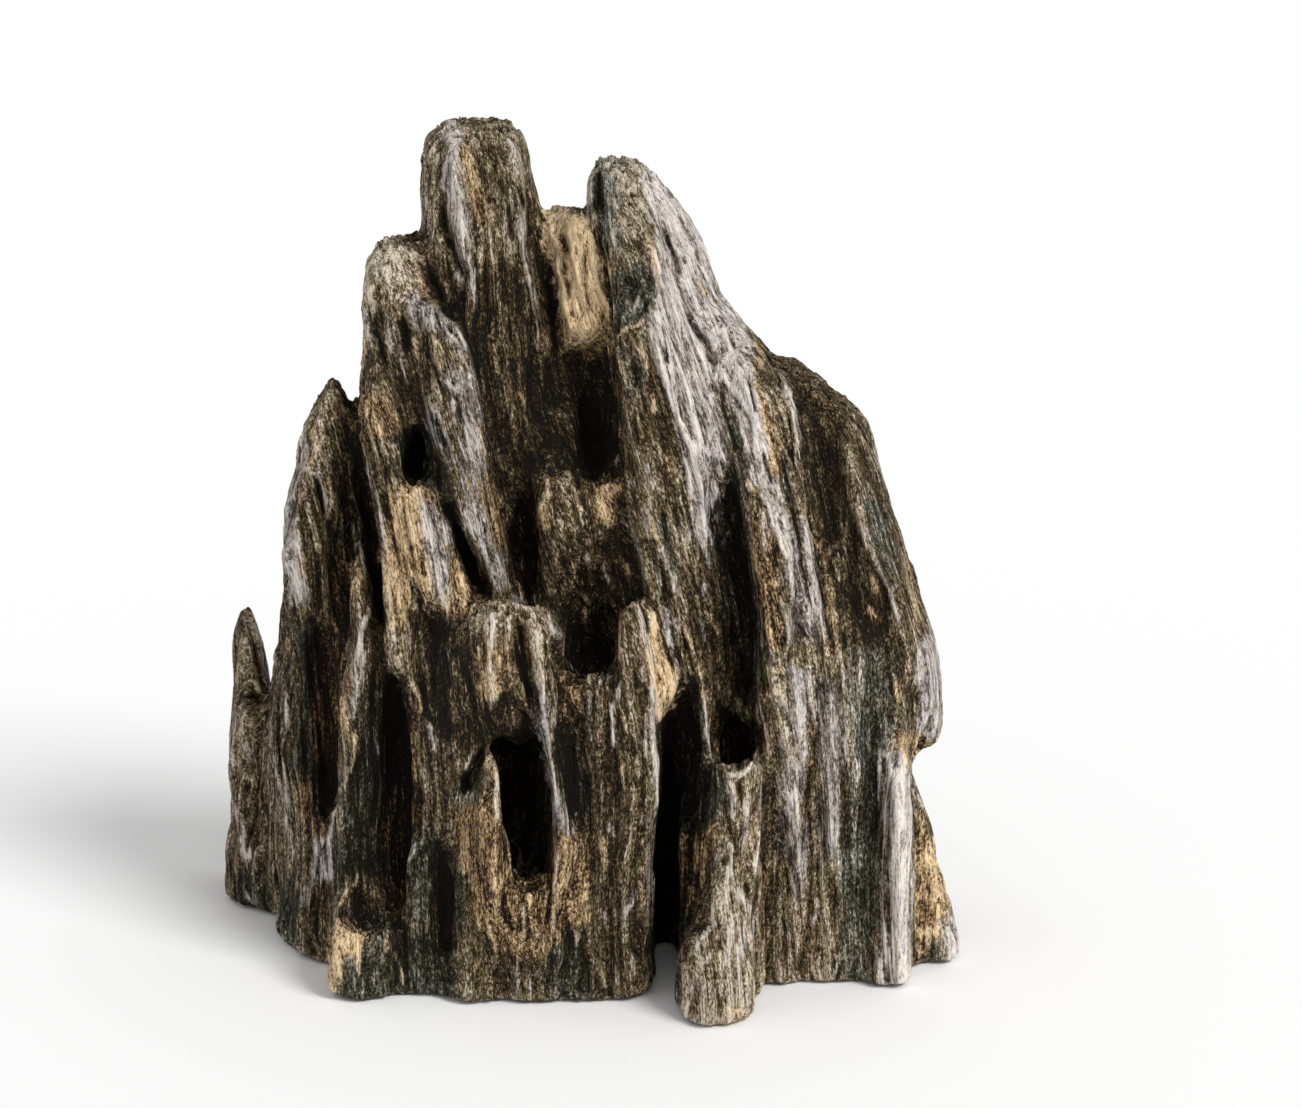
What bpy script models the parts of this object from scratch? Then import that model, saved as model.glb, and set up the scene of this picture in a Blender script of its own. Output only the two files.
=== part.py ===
"""A piece of agarwood: one block of resin wood, weathered into a ridge of upright staves.

The block stands on a sawn base. Each stave is a bundle of fibres that runs from the base to its own
broken tip. Rot has eaten hollows between the staves, and a few staves end short of the base.

The staves and hollows are laid out as they are seen from the front, from a little above: `across` is
measured from the block's centre line and `up` from the front edge of its base, in millimetres. The
depth is the true one in the block, with the back positive.
"""

import math

import bmesh
import bpy
from mathutils import Matrix, Vector

MM = 0.001

# The place that the block is looked at from, in metres and radians.
VIEW_TILT = math.radians(15.0)
VIEW_DISTANCE = 0.450
AIM = Vector((0.00684, 0.0, 0.0488))
AIM_ACROSS = 6.84
AIM_UP = 53.88

# How far the staves start under the base, where the saw takes them off.
BELOW_BASE = -3.0 * MM
RING_SIDES = 20
# Below one, a ring is squarer than an ellipse.
RING_ROUNDNESS = 0.8
SKIN_VOXEL = 0.7 * MM
TRIANGLES = 9600

WOOD_COLOUR = (0.115, 0.095, 0.080, 1.0)
WOOD_ROUGHNESS = 0.75

# Each stave, from its foot to its tip. A station is up, left edge, right edge, depth of the front
# and half of the thickness there. A first station with up 0 stands on the base.
STAVES = {
    "front foot": [
        (0, 9.6, 19.4, -30.6, 6.0),
        (5, 10.1, 19.4, -30.0, 6.0),
        (10, 12.0, 19.0, -28.5, 5.5),
        (15, 13.8, 17.6, -26.5, 4.0),
        (19.6, 15.4, 16.9, -24.0, 1.6),
    ],
    "foot column": [
        (0, 9.8, 20.4, -24.0, 7.0),
        (10, 10.8, 20.3, -23.8, 6.5),
        (20, 12.6, 20.3, -23.0, 6.0),
        (26, 13.4, 20.2, -22.0, 5.0),
        (30.4, 14.0, 19.8, -21.0, 3.6),
    ],
    "lone spire": [
        (0, -1.6, 7.2, -22.5, 6.5),
        (10, -1.0, 7.0, -22.4, 6.5),
        (20, 0.2, 7.4, -22.0, 6.0),
        (30, 1.6, 7.9, -21.0, 5.5),
        (38, 2.2, 7.3, -20.0, 4.5),
        (44, 2.8, 6.3, -18.5, 3.5),
        (48.3, 3.7, 5.3, -17.2, 1.6),
    ],
    "pocket wall": [
        (0, -6.0, 2.0, -22.5, 6.0),
        (12, -5.4, 2.0, -22.0, 6.0),
        (22, -4.0, 2.6, -20.8, 5.0),
        (30, -3.4, 2.8, -19.6, 4.5),
        (37, -4.2, 3.0, -18.4, 3.5),
        (39.5, -4.0, 3.0, -17.8, 2.5),
    ],
    "tooth": [
        (0, -19.6, -14.0, -20.5, 6.0),
        (12, -19.4, -14.4, -20.5, 6.0),
        (20, -19.8, -13.4, -20.0, 5.5),
        (30, -20.0, -9.0, -19.6, 5.5),
        (38, -20.0, -5.0, -19.8, 6.0),
        (44, -18.4, -5.4, -19.0, 5.5),
        (48.4, -15.0, -6.2, -17.6, 3.6),
    ],
    "tooth edge": [
        (0, -6.4, -3.2, -23.0, 5.0),
        (14, -5.8, -2.8, -22.6, 4.0),
        (21, -4.8, -2.2, -22.2, 3.5),
        (27, -5.6, -3.2, -21.6, 3.5),
        (33, -6.6, -4.2, -20.8, 3.5),
        (40, -8.0, -4.8, -19.8, 3.4),
        (46, -8.4, -5.6, -18.4, 2.6),
    ],
    "hole lip": [
        (0, -12.0, -3.0, -23.6, 6.5),
        (9, -11.8, -3.4, -23.2, 6.3),
        (15.4, -11.2, -4.0, -22.2, 4.5),
    ],
    "spike": [
        (0, -18.4, -9.0, -23.4, 6.5),
        (9, -17.6, -9.2, -23.2, 6.3),
        (17, -17.0, -9.8, -22.8, 5.0),
        (23, -15.8, -10.8, -22.4, 3.0),
        (26.4, -14.8, -11.0, -22.0, 2.4),
        (29.8, -13.0, -11.2, -21.6, 1.0),
    ],
    "low blade": [
        (0, -23.0, -18.0, -20.8, 5.0),
        (9, -22.6, -18.2, -20.4, 5.0),
        (15, -22.6, -19.2, -19.4, 4.0),
        (20.8, -21.4, -19.6, -17.4, 2.5),
    ],
    "stump": [
        (0, -32.2, -22.8, -23.0, 5.0),
        (5, -32.0, -23.2, -22.9, 5.0),
        (9, -31.6, -23.8, -22.0, 4.5),
        (12, -31.3, -25.4, -20.0, 3.5),
        (14.8, -29.8, -27.2, -17.6, 2.0),
    ],
    "window left wall": [
        (0, -31.0, -25.6, -15.5, 6.0),
        (14, -31.0, -25.9, -15.4, 6.0),
        (26, -30.6, -26.0, -15.0, 6.0),
        (36, -30.4, -26.0, -13.6, 5.5),
        (46, -28.8, -25.8, -11.4, 5.0),
        (54, -28.8, -26.0, -9.0, 5.0),
    ],
    "window floor": [
        (0, -27.0, -20.0, -15.0, 4.0),
        (12, -27.0, -20.0, -14.6, 4.0),
        (20, -27.0, -20.0, -12.4, 4.0),
        (36, -27.0, -20.0, -10.6, 4.0),
        (44, -27.0, -20.0, -11.0, 3.0),
    ],
    "window right wall": [
        (0, -22.8, -15.4, -16.5, 6.5),
        (14, -22.0, -15.4, -17.0, 6.5),
        (26, -21.2, -15.0, -17.4, 6.5),
        (34, -22.0, -15.6, -16.8, 6.5),
        (42, -25.2, -16.6, -15.0, 6.0),
        (50, -26.2, -20.0, -12.6, 5.5),
        (58, -27.2, -23.0, -10.4, 4.6),
        (66, -28.2, -25.0, -8.0, 4.0),
        (73, -27.8, -25.6, -5.0, 3.0),
    ],
    "left lower stave": [
        (0, -34.7, -30.4, -10.0, 5.0),
        (12, -34.4, -30.6, -9.4, 5.0),
        (17, -33.6, -30.6, -8.6, 4.0),
        (20, -32.8, -31.2, -7.0, 2.4),
    ],
    "left spire": [
        (0, -37.5, -31.0, 0.0, 8.0),
        (20, -37.6, -31.0, -1.5, 8.0),
        (34, -37.3, -30.6, -3.0, 8.0),
        (46, -36.6, -29.6, -4.0, 8.0),
        (55, -37.4, -30.0, -4.2, 8.0),
        (62, -36.5, -29.4, -3.6, 7.0),
        (69, -34.7, -29.2, -2.0, 5.0),
        (75, -32.2, -30.0, 0.0, 2.4),
    ],
    "left rib": [
        (0, -38.4, -34.5, 5.0, 6.0),
        (20, -38.4, -35.3, 4.4, 6.0),
        (30, -38.6, -36.2, 4.0, 5.5),
        (39, -38.4, -36.2, 4.0, 4.5),
        (44, -37.4, -35.6, 4.5, 3.0),
    ],
    "outer spire": [
        (0, -43.8, -37.8, 9.0, 7.0),
        (20, -44.0, -38.0, 8.8, 7.0),
        (24, -43.3, -38.2, 9.0, 6.5),
        (30, -43.5, -38.6, 9.6, 6.0),
        (36.8, -42.8, -39.0, 10.6, 4.5),
    ],
    "outer spire tip": [
        (0, -43.4, -38.0, 13.0, 6.0),
        (30, -43.5, -38.8, 13.0, 5.5),
        (40, -43.3, -39.2, 13.6, 4.6),
        (44, -43.2, -39.8, 14.0, 3.6),
        (47.6, -42.6, -41.0, 14.6, 1.8),
    ],
    "shoulder spire": [
        (0, -30.0, -20.0, -6.0, 10.0),
        (40, -29.6, -19.0, -8.0, 10.0),
        (56, -28.4, -17.0, -8.4, 9.0),
        (66, -28.6, -16.4, -7.4, 8.5),
        (74, -28.1, -17.0, -6.0, 7.5),
        (84, -28.0, -18.0, -3.6, 6.0),
        (89, -27.4, -20.0, -2.0, 4.5),
        (91.6, -25.6, -21.4, -0.6, 2.6),
    ],
    "shoulder rib": [
        (46, -12.6, -9.6, -13.6, 4.0),
        (53, -14.0, -10.2, -13.4, 4.5),
        (61, -17.4, -11.8, -12.4, 5.0),
        (70, -20.0, -13.4, -10.6, 5.5),
        (77, -20.6, -14.6, -8.6, 5.0),
        (81, -21.0, -16.0, -7.0, 4.0),
        (85, -22.4, -19.4, -4.6, 2.6),
    ],
    "knob": [
        (46, -18.6, -14.8, -14.4, 3.6),
        (50, -23.8, -14.4, -15.0, 5.5),
        (57, -24.8, -15.8, -13.4, 6.0),
        (62, -25.4, -18.0, -11.2, 5.0),
        (67, -25.4, -20.6, -8.6, 3.8),
        (72, -25.0, -22.0, -5.6, 2.6),
    ],
    "left peak": [
        (60, -16.0, -5.0, -4.5, 8.0),
        (72, -16.0, -6.2, -5.0, 7.5),
        (80, -17.4, -6.6, -4.6, 7.0),
        (90, -20.2, -7.2, -3.2, 6.5),
        (97, -20.9, -7.0, -1.8, 6.0),
        (102, -20.6, -7.6, -0.8, 5.2),
        (104.6, -19.8, -8.6, 0.0, 4.2),
        (105.6, -18.6, -9.8, 1.0, 2.8),
    ],
    "tan wall": [
        (50, -8.0, 4.0, -6.0, 8.0),
        (66, -8.0, 4.0, -3.0, 7.0),
        (76, -7.6, 3.6, -1.6, 6.0),
        (84, -7.4, 3.2, 0.2, 5.6),
        (90, -7.2, 2.6, 1.8, 5.0),
        (95, -6.4, 0.8, 3.4, 3.4),
    ],
    "middle": [
        (0, -9.0, 10.0, -18.0, 10.0),
        (30, -8.0, 8.0, -16.0, 9.0),
        (37, -8.0, 6.0, -12.0, 8.0),
        (50, -8.0, 6.0, -10.4, 7.5),
        (60, -8.0, 5.4, -8.8, 7.0),
        (68, -7.6, 4.4, -5.4, 6.0),
        (77, -7.0, 3.4, -0.5, 4.5),
    ],
    "right peak": [
        (0, 4.0, 16.0, -17.0, 9.0),
        (42, 4.0, 15.0, -15.4, 9.0),
        (56, 3.6, 15.0, -13.0, 9.0),
        (70, 2.6, 14.0, -10.0, 8.5),
        (80, 1.8, 12.0, -7.0, 8.0),
        (88, 1.2, 10.0, -4.4, 7.0),
        (94, -0.2, 9.6, -2.0, 6.0),
        (99, -0.8, 7.0, -0.4, 4.6),
        (101.1, -0.2, 5.2, 0.8, 2.8),
    ],
    "pale slab": [
        (20, 20.0, 30.0, -15.0, 7.0),
        (40, 18.0, 28.0, -14.6, 7.0),
        (52, 17.0, 27.0, -12.6, 8.0),
        (62, 14.0, 25.4, -10.2, 8.5),
        (72, 11.0, 23.9, -7.4, 8.0),
        (78, 9.0, 20.8, -5.4, 7.5),
        (82, 8.0, 17.4, -4.0, 7.0),
        (85, 7.2, 15.0, -3.0, 6.4),
        (92, 5.0, 13.1, -0.8, 5.0),
        (96, 4.4, 10.2, 0.4, 4.0),
        (99.4, 4.0, 7.4, 1.6, 2.6),
    ],
    "slab blade": [
        (36, 20.6, 22.8, -16.2, 3.0),
        (42, 19.8, 23.4, -16.4, 4.0),
        (50, 19.6, 23.8, -15.4, 5.0),
        (57, 18.8, 21.6, -13.6, 4.6),
        (62.4, 17.8, 19.0, -11.6, 2.0),
    ],
    "right shoulder": [
        (0, 24.0, 37.2, -10.0, 9.0),
        (28, 25.4, 37.2, -8.4, 9.0),
        (34, 25.8, 39.4, -8.2, 9.0),
        (48, 25.0, 38.8, -5.0, 8.0),
        (58, 24.0, 35.6, -2.6, 7.5),
        (66, 23.0, 33.8, -0.6, 6.5),
        (71, 22.0, 32.0, 1.0, 5.0),
        (77.2, 21.2, 24.4, 3.4, 1.8),
    ],
    "right knob": [
        (31.4, 36.6, 41.6, -2.4, 4.0),
        (36, 36.0, 42.1, -3.4, 6.0),
        (43, 34.6, 41.2, -3.2, 6.5),
        (51, 32.4, 38.3, -2.0, 6.5),
        (60, 31.0, 35.3, -0.6, 6.0),
        (67, 30.0, 33.6, 1.0, 4.6),
        (71, 29.6, 32.2, 2.4, 2.8),
    ],
    "right skirt, inner": [
        (0, 19.4, 27.0, -16.6, 6.0),
        (14, 19.6, 27.0, -17.0, 6.0),
        (26, 19.9, 26.4, -16.8, 5.5),
        (36, 19.6, 26.6, -15.8, 5.0),
        (43, 20.4, 26.0, -13.8, 4.0),
        (50, 21.0, 25.0, -10.6, 3.0),
    ],
    "right skirt, middle": [
        (0, 25.6, 32.6, -16.8, 6.0),
        (16, 25.4, 32.6, -16.4, 6.0),
        (30, 25.0, 32.4, -14.6, 6.0),
        (44, 24.6, 32.0, -9.6, 5.5),
        (56, 25.0, 31.0, -3.4, 4.0),
    ],
    "right skirt, outer": [
        (0, 31.4, 38.4, -18.6, 6.5),
        (12, 32.4, 38.4, -18.0, 6.0),
        (22, 33.4, 38.3, -16.0, 6.0),
        (29, 33.4, 38.1, -13.0, 5.5),
        (36, 33.0, 38.0, -8.0, 5.0),
        (45, 32.6, 37.4, -3.0, 4.0),
    ],
    "right heel": [
        (0, 37.4, 43.9, -11.0, 6.0),
        (9, 37.4, 43.8, -10.4, 5.6),
        (14, 37.0, 42.4, -9.6, 5.0),
        (20, 36.6, 40.7, -8.8, 4.6),
        (28.4, 35.6, 38.0, -7.4, 3.0),
    ],
    "groove floor": [
        (34.5, 13.5, 20.5, -10.5, 3.0),
        (46, 13.5, 20.5, -9.5, 3.0),
        (56, 13.6, 20.0, -8.2, 3.0),
        (66, 13.5, 19.5, -5.5, 3.0),
    ],
    "cleft floor": [
        (42, -11.0, -6.0, -6.5, 3.0),
        (52, -11.0, -6.0, -5.5, 3.0),
        (62, -11.0, -6.5, -3.0, 3.0),
    ],
    "left core": [
        (0, -38.0, -6.0, -13.0, 15.0),
        (40, -35.0, -6.0, -7.0, 12.0),
        (60, -28.0, -8.0, -3.0, 7.5),
        (84, -24.0, -12.0, 0.0, 4.0),
    ],
    "middle core": [
        (0, -14.0, 18.0, -14.0, 16.0),
        (40, -12.0, 18.0, -8.0, 13.0),
        (62, -10.0, 14.0, 0.0, 7.5),
        (84, -8.0, 8.0, 6.0, 4.0),
    ],
    "right core": [
        (0, 10.0, 39.0, -12.0, 14.0),
        (40, 10.0, 35.0, -6.0, 11.0),
        (56, 12.0, 30.0, -3.0, 7.5),
        (70, 18.0, 27.0, 1.0, 4.0),
    ],
}

# The staves of the back, which the front hides: across, depth and half width of the foot, the same
# for the tip, and how far up the tip is.
BACK_STAVES = [
    (-38.0, 15.0, 3.6, -34.6, 10.0, 1.4, 56),
    (-33.0, 13.0, 4.2, -30.0, 9.0, 1.6, 67),
    (-27.0, 15.5, 4.6, -24.6, 8.5, 1.8, 80),
    (-20.5, 13.0, 4.4, -19.0, 8.0, 2.2, 87),
    (-14.5, 16.0, 4.8, -14.8, 8.0, 2.6, 100),
    (-8.0, 14.0, 4.2, -10.0, 8.4, 1.6, 95),
    (-1.5, 16.5, 4.6, -4.0, 9.5, 2.2, 89),
    (5.0, 13.5, 4.4, 2.5, 8.6, 2.2, 97),
    (11.5, 16.0, 4.6, 8.6, 8.4, 1.8, 90),
    (18.0, 13.5, 4.4, 14.5, 8.4, 2.0, 79),
    (24.5, 15.5, 4.4, 20.6, 9.4, 1.6, 73),
    (30.5, 12.5, 4.4, 26.8, 9.6, 2.0, 69),
    (36.0, 9.0, 3.8, 32.4, 8.6, 1.4, 56),
    (37.2, 4.5, 2.4, 35.4, 6.0, 1.4, 38),
]
# How far up a back stave each of its rings is, and how thick the stave is there, half of it in
# millimetres.
BACK_RINGS = [(0.0, 8.0), (0.4, 7.0), (0.75, 5.0), (0.93, 3.0), (1.0, 1.4)]

# Each hollow, from its lowest point up, in the same terms as a stave: it is what the rot took.
HOLLOWS = {
    "big hole": [
        (15.4, -9.6, -6.0, -17.0, 4.0),
        (17, -10.3, -5.9, -24.0, 9.0),
        (22, -10.9, -6.6, -25.0, 10.0),
        (27, -11.4, -7.7, -24.0, 9.5),
        (32.4, -11.3, -10.3, -21.0, 4.0),
    ],
    "spike hollow": [
        (22.5, -14.0, -12.0, -19.2, 2.0),
        (26, -14.0, -10.8, -19.4, 4.5),
        (30, -13.2, -10.8, -19.2, 4.6),
        (32.6, -12.2, -10.8, -19.0, 2.6),
    ],
    "spike pocket": [
        (24.2, -15.9, -15.2, -21.4, 2.0),
        (27, -15.4, -14.4, -22.0, 4.4),
        (30.8, -14.2, -13.4, -21.0, 3.0),
    ],
    "rim pocket": [
        (37, -2.4, 1.4, -14.0, 2.6),
        (40, -3.6, 2.5, -15.5, 6.0),
        (43, -3.8, 2.8, -14.5, 4.6),
        (47, -4.0, 3.0, -12.5, 2.8),
        (53, -4.0, 3.0, -11.0, 1.4),
        (59, -2.6, 1.6, -10.4, 0.8),
    ],
    "rim hole": [
        (26.4, 15.2, 18.2, -18.6, 3.6),
        (28.8, 14.2, 18.8, -20.2, 5.4),
        (32.4, 14.0, 18.6, -19.6, 5.6),
        (35.0, 15.0, 17.4, -17.6, 4.0),
    ],
    "long groove": [
        (36, 16.6, 19.4, -13.0, 3.0),
        (46, 16.8, 19.6, -12.5, 3.2),
        (56, 16.2, 18.4, -11.0, 2.8),
        (62, 15.8, 17.8, -9.5, 2.4),
        (70, 15.2, 16.6, -7.6, 1.2),
    ],
    "deep cleft": [
        (0.0, 6.9, 10.0, -27.0, 12.0),
        (10.0, 7.0, 10.1, -27.0, 13.0),
        (25.0, 7.7, 10.1, -26.0, 12.0),
        (31.5, 8.1, 9.9, -23.5, 8.0),
        (36.0, 8.7, 9.7, -20.5, 3.4),
    ],
    "narrow cleft": [
        (21, 10.9, 12.2, -18.0, 2.0),
        (28, 10.4, 12.6, -19.6, 5.0),
        (36, 10.5, 12.2, -18.6, 4.4),
        (40.5, 10.8, 11.6, -17.0, 2.0),
    ],
    "tooth hollow": [
        (19, -2.6, -0.6, -23.0, 1.8),
        (24, -3.4, 0.2, -23.6, 2.8),
        (29, -4.0, -0.2, -22.6, 2.9),
        (34, -4.2, -1.8, -21.0, 2.0),
    ],
    "blade gap": [
        (5, -19.2, -17.0, -23.0, 2.2),
        (10, -19.6, -16.6, -23.0, 2.8),
        (16, -19.4, -16.8, -22.6, 2.8),
        (21, -18.6, -17.2, -21.0, 1.6),
    ],
    "window": [
        (13, -24.6, -22.0, -16.0, 2.4),
        (20, -25.0, -21.6, -14.5, 2.8),
        (30, -25.4, -21.8, -14.0, 3.0),
        (37, -25.2, -22.4, -15.0, 3.6),
        (40.2, -24.4, -23.2, -15.0, 2.6),
    ],
    "slit": [
        (42.4, -26.0, -24.6, -17.0, 5.0),
        (46.0, -26.6, -24.3, -17.0, 8.0),
        (52.0, -27.2, -25.1, -16.0, 8.5),
        (58.0, -28.3, -26.1, -14.0, 8.5),
        (63.0, -29.0, -27.0, -12.0, 8.0),
        (68.0, -29.4, -28.1, -9.5, 5.0),
    ],
    "shoulder hole": [
        (61.4, -21.8, -20.6, -10.0, 3.5),
        (63.4, -22.9, -20.0, -11.0, 6.0),
        (66.4, -22.5, -19.7, -10.5, 6.0),
        (69.6, -21.8, -20.3, -9.5, 4.0),
    ],
    "knob gap": [
        (47.5, -13.6, -11.6, -16.0, 3.5),
        (52.0, -15.8, -13.6, -16.5, 5.0),
        (56.0, -17.2, -15.2, -15.5, 5.0),
        (60.0, -18.0, -16.8, -14.0, 3.0),
    ],
    "dark cleft": [
        (46.6, -9.4, -7.0, -17.0, 5.0),
        (52.0, -10.0, -6.8, -16.0, 7.0),
        (57.0, -10.4, -7.2, -15.0, 7.0),
        (62.0, -10.0, -8.2, -13.5, 5.0),
    ],
    "upper hollow": [
        (56, -3.0, 1.4, -11.6, 1.6),
        (60.5, -5.0, 2.6, -11.0, 2.2),
        (66, -7.2, 3.4, -9.5, 3.6),
        (72, -7.4, 3.2, -6.5, 3.4),
        (79, -6.0, 2.0, -2.5, 2.2),
    ],
    "upper core": [
        (62.6, -1.6, 1.2, -8.0, 3.6),
        (67, -2.2, 1.8, -6.5, 4.4),
        (72, -2.0, 1.2, -3.5, 3.4),
        (75, -1.2, 0.2, -1.0, 2.0),
    ],
    "left hollow": [
        (22, -33.6, -31.0, -9.5, 2.6),
        (25, -34.0, -30.4, -9.8, 3.6),
        (30, -35.0, -30.0, -9.5, 3.6),
        (38, -35.4, -30.8, -8.0, 3.2),
        (46, -34.8, -31.8, -6.5, 2.4),
    ],
    "stump cup": [
        (8.2, -29.4, -25.6, -20.2, 2.2),
        (11.0, -30.6, -24.6, -21.2, 3.0),
        (16.0, -30.4, -25.4, -21.4, 2.8),
    ],
    "back slit, left": [
        (20.0, -27.2, -26.0, 17.0, 4.0),
        (34.0, -27.8, -25.0, 14.0, 6.0),
        (50.0, -26.6, -24.8, 11.5, 5.0),
        (57.0, -26.0, -25.2, 11.0, 3.0),
    ],
    "back slit, middle": [
        (7.0, -3.6, -2.4, 18.0, 4.0),
        (20.0, -4.4, -1.6, 15.0, 7.0),
        (38.0, -4.8, -2.0, 12.5, 6.0),
        (48.0, -4.4, -3.2, 12.0, 3.0),
    ],
    "back hole": [
        (49.0, 8.8, 10.4, 11.0, 4.0),
        (56.0, 7.6, 11.2, 8.5, 6.0),
        (64.0, 7.8, 10.4, 7.5, 5.0),
        (69.0, 8.4, 9.4, 8.0, 3.0),
    ],
    "back slit, right": [
        (12.0, 20.6, 22.0, 17.0, 4.0),
        (26.0, 19.8, 22.4, 14.0, 6.0),
        (44.0, 20.0, 22.0, 11.5, 5.0),
        (53.0, 20.4, 21.4, 11.0, 3.0),
    ],
    "skirt notch": [
        (28.2, 37.2, 42.0, -12.0, 4.5),
        (30.0, 37.6, 42.6, -12.0, 5.5),
    ],
}


def clear_scene():
    """Takes out whatever the file opened with."""
    for obj in list(bpy.data.objects):
        bpy.data.objects.remove(obj, do_unlink=True)


def sight_line(across, up):
    """The eye's place and the direction in which it sees a point of the layout."""
    forward = Vector((0.0, math.cos(VIEW_TILT), -math.sin(VIEW_TILT)))
    upward = Vector((0.0, math.sin(VIEW_TILT), math.cos(VIEW_TILT)))
    eye = AIM - forward * VIEW_DISTANCE
    sideways = Vector(((across - AIM_ACROSS) * MM, 0.0, 0.0))
    return eye, forward * VIEW_DISTANCE + sideways + upward * (up - AIM_UP) * MM


def place(across, up, depth):
    """The point of the block that is seen at across and up and lies at that depth."""
    eye, direction = sight_line(across, up)
    return eye + direction * ((depth * MM - eye.y) / direction.y)


def ring_at(station):
    """Centre, half width and half thickness of one ring of a stave, in metres."""
    up, left, right, front, thick = station
    start = place(left, up, front + thick)
    end = place(right, up, front + thick)
    return (start + end) / 2, (end.x - start.x) / 2, thick * MM


def add_stave(bm, stations):
    """One closed stave: a ring at its foot, drawn up through its stations and capped."""
    rings = [ring_at(station) for station in stations]
    if stations[0][0] == 0:
        rings[0][0].z = BELOW_BASE
    ring = bmesh.ops.create_circle(bm, cap_ends=True, segments=RING_SIDES, radius=1.0)["verts"]
    unit = []
    for vertex in ring:
        x, y = vertex.co.x, vertex.co.y
        unit.append((
            math.copysign(abs(x) ** RING_ROUNDNESS, x),
            math.copysign(abs(y) ** RING_ROUNDNESS, y)))
    edges = list(ring[0].link_faces[0].edges)
    for index, (centre, wide, thick) in enumerate(rings):
        if index:
            below = set(ring)
            grown = bmesh.ops.extrude_edge_only(bm, edges=edges)["geom"]
            edges = [item for item in grown if isinstance(item, bmesh.types.BMEdge)]
            above = {}
            for vertex in grown:
                if isinstance(vertex, bmesh.types.BMVert):
                    partner = [edge.other_vert(vertex) for edge in vertex.link_edges]
                    above[next(other for other in partner if other in below)] = vertex
            ring = [above[vertex] for vertex in ring]
        for vertex, (x, y) in zip(ring, unit):
            vertex.co = centre + Vector((x * wide, y * thick, 0.0))
    bmesh.ops.contextual_create(bm, geom=edges)


def object_from(bm, name):
    """A new object with the mesh of this bmesh, its faces pointing out."""
    bmesh.ops.recalc_face_normals(bm, faces=bm.faces)
    mesh = bpy.data.meshes.new(name)
    bm.to_mesh(mesh)
    bm.free()
    obj = bpy.data.objects.new(name, mesh)
    bpy.context.scene.collection.objects.link(obj)
    return obj


def bake(obj):
    """Swaps an object's mesh for what its modifiers make of it."""
    graph = bpy.context.evaluated_depsgraph_get()
    mesh = bpy.data.meshes.new_from_object(obj.evaluated_get(graph))
    obj.modifiers.clear()
    obj.data = mesh


def remesh(obj, voxel):
    """Merges an object's overlapping shells into one skin of even quads."""
    modifier = obj.modifiers.new("one skin", "REMESH")
    modifier.mode = "VOXEL"
    modifier.voxel_size = voxel
    bake(obj)


def all_staves():
    """Every stave of the block as one mesh of overlapping shells."""
    bm = bmesh.new()
    for stations in STAVES.values():
        add_stave(bm, stations)
    for foot_x, foot_y, foot_w, tip_x, tip_y, tip_w, tip_up in BACK_STAVES:
        stations = []
        for share, thick in BACK_RINGS:
            x = foot_x + (tip_x - foot_x) * share
            y = foot_y + (tip_y - foot_y) * share
            wide = foot_w + (tip_w - foot_w) * share ** 3
            stations.append((tip_up * share, x - wide, x + wide, y - thick, thick))
        add_stave(bm, stations)
    return object_from(bm, "staves")


def all_hollows():
    """Every hollow as one mesh of overlapping cutters."""
    bm = bmesh.new()
    for stations in HOLLOWS.values():
        add_stave(bm, stations)
    return object_from(bm, "hollows")


def keep_biggest_shell(bm):
    """Takes out the small shells that closed-in gaps leave in a remeshed skin."""
    left = set(bm.verts)
    shells = []
    while left:
        shell = {left.pop()}
        edge_of_shell = list(shell)
        while edge_of_shell:
            vertex = edge_of_shell.pop()
            for edge in vertex.link_edges:
                other = edge.other_vert(vertex)
                if other in left:
                    left.remove(other)
                    shell.add(other)
                    edge_of_shell.append(other)
        shells.append(shell)
    shells.sort(key=len)
    for shell in shells[:-1]:
        bmesh.ops.delete(bm, geom=list(shell), context="VERTS")


def saw_base(bm):
    """Cuts the feet of the staves off flat at height 0."""
    geometry = bm.verts[:] + bm.edges[:] + bm.faces[:]
    bmesh.ops.bisect_plane(
        bm, geom=geometry, plane_co=(0, 0, 0), plane_no=(0, 0, -1), clear_outer=True)
    bmesh.ops.holes_fill(bm, edges=[edge for edge in bm.edges if edge.is_boundary])


def thin_out(block):
    """Brings the skin down to few triangles, keeping its shape."""
    bm = bmesh.new()
    bm.from_mesh(block.data)
    bmesh.ops.triangulate(bm, faces=bm.faces)
    bm.to_mesh(block.data)
    bm.free()
    thin = block.modifiers.new("fewer triangles", "DECIMATE")
    thin.ratio = TRIANGLES / len(block.data.polygons)
    bake(block)


def centre(block):
    """Puts the middle of the block's base over the origin."""
    xs = [vertex.co.x for vertex in block.data.vertices]
    ys = [vertex.co.y for vertex in block.data.vertices]
    zs = [vertex.co.z for vertex in block.data.vertices]
    shift = Vector((-(min(xs) + max(xs)) / 2, -(min(ys) + max(ys)) / 2, -min(zs)))
    block.data.transform(Matrix.Translation(shift))


def make_block():
    """The finished block, flat at its base and standing on it."""
    block = all_staves()
    remesh(block, SKIN_VOXEL)
    cutter = all_hollows()
    remesh(cutter, SKIN_VOXEL)
    cut = block.modifiers.new("hollows", "BOOLEAN")
    cut.operation = "DIFFERENCE"
    cut.solver = "MANIFOLD"
    cut.object = cutter
    bake(block)
    bpy.data.objects.remove(cutter, do_unlink=True)
    remesh(block, SKIN_VOXEL)
    bm = bmesh.new()
    bm.from_mesh(block.data)
    keep_biggest_shell(bm)
    saw_base(bm)
    bm.to_mesh(block.data)
    bm.free()
    return block


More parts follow.
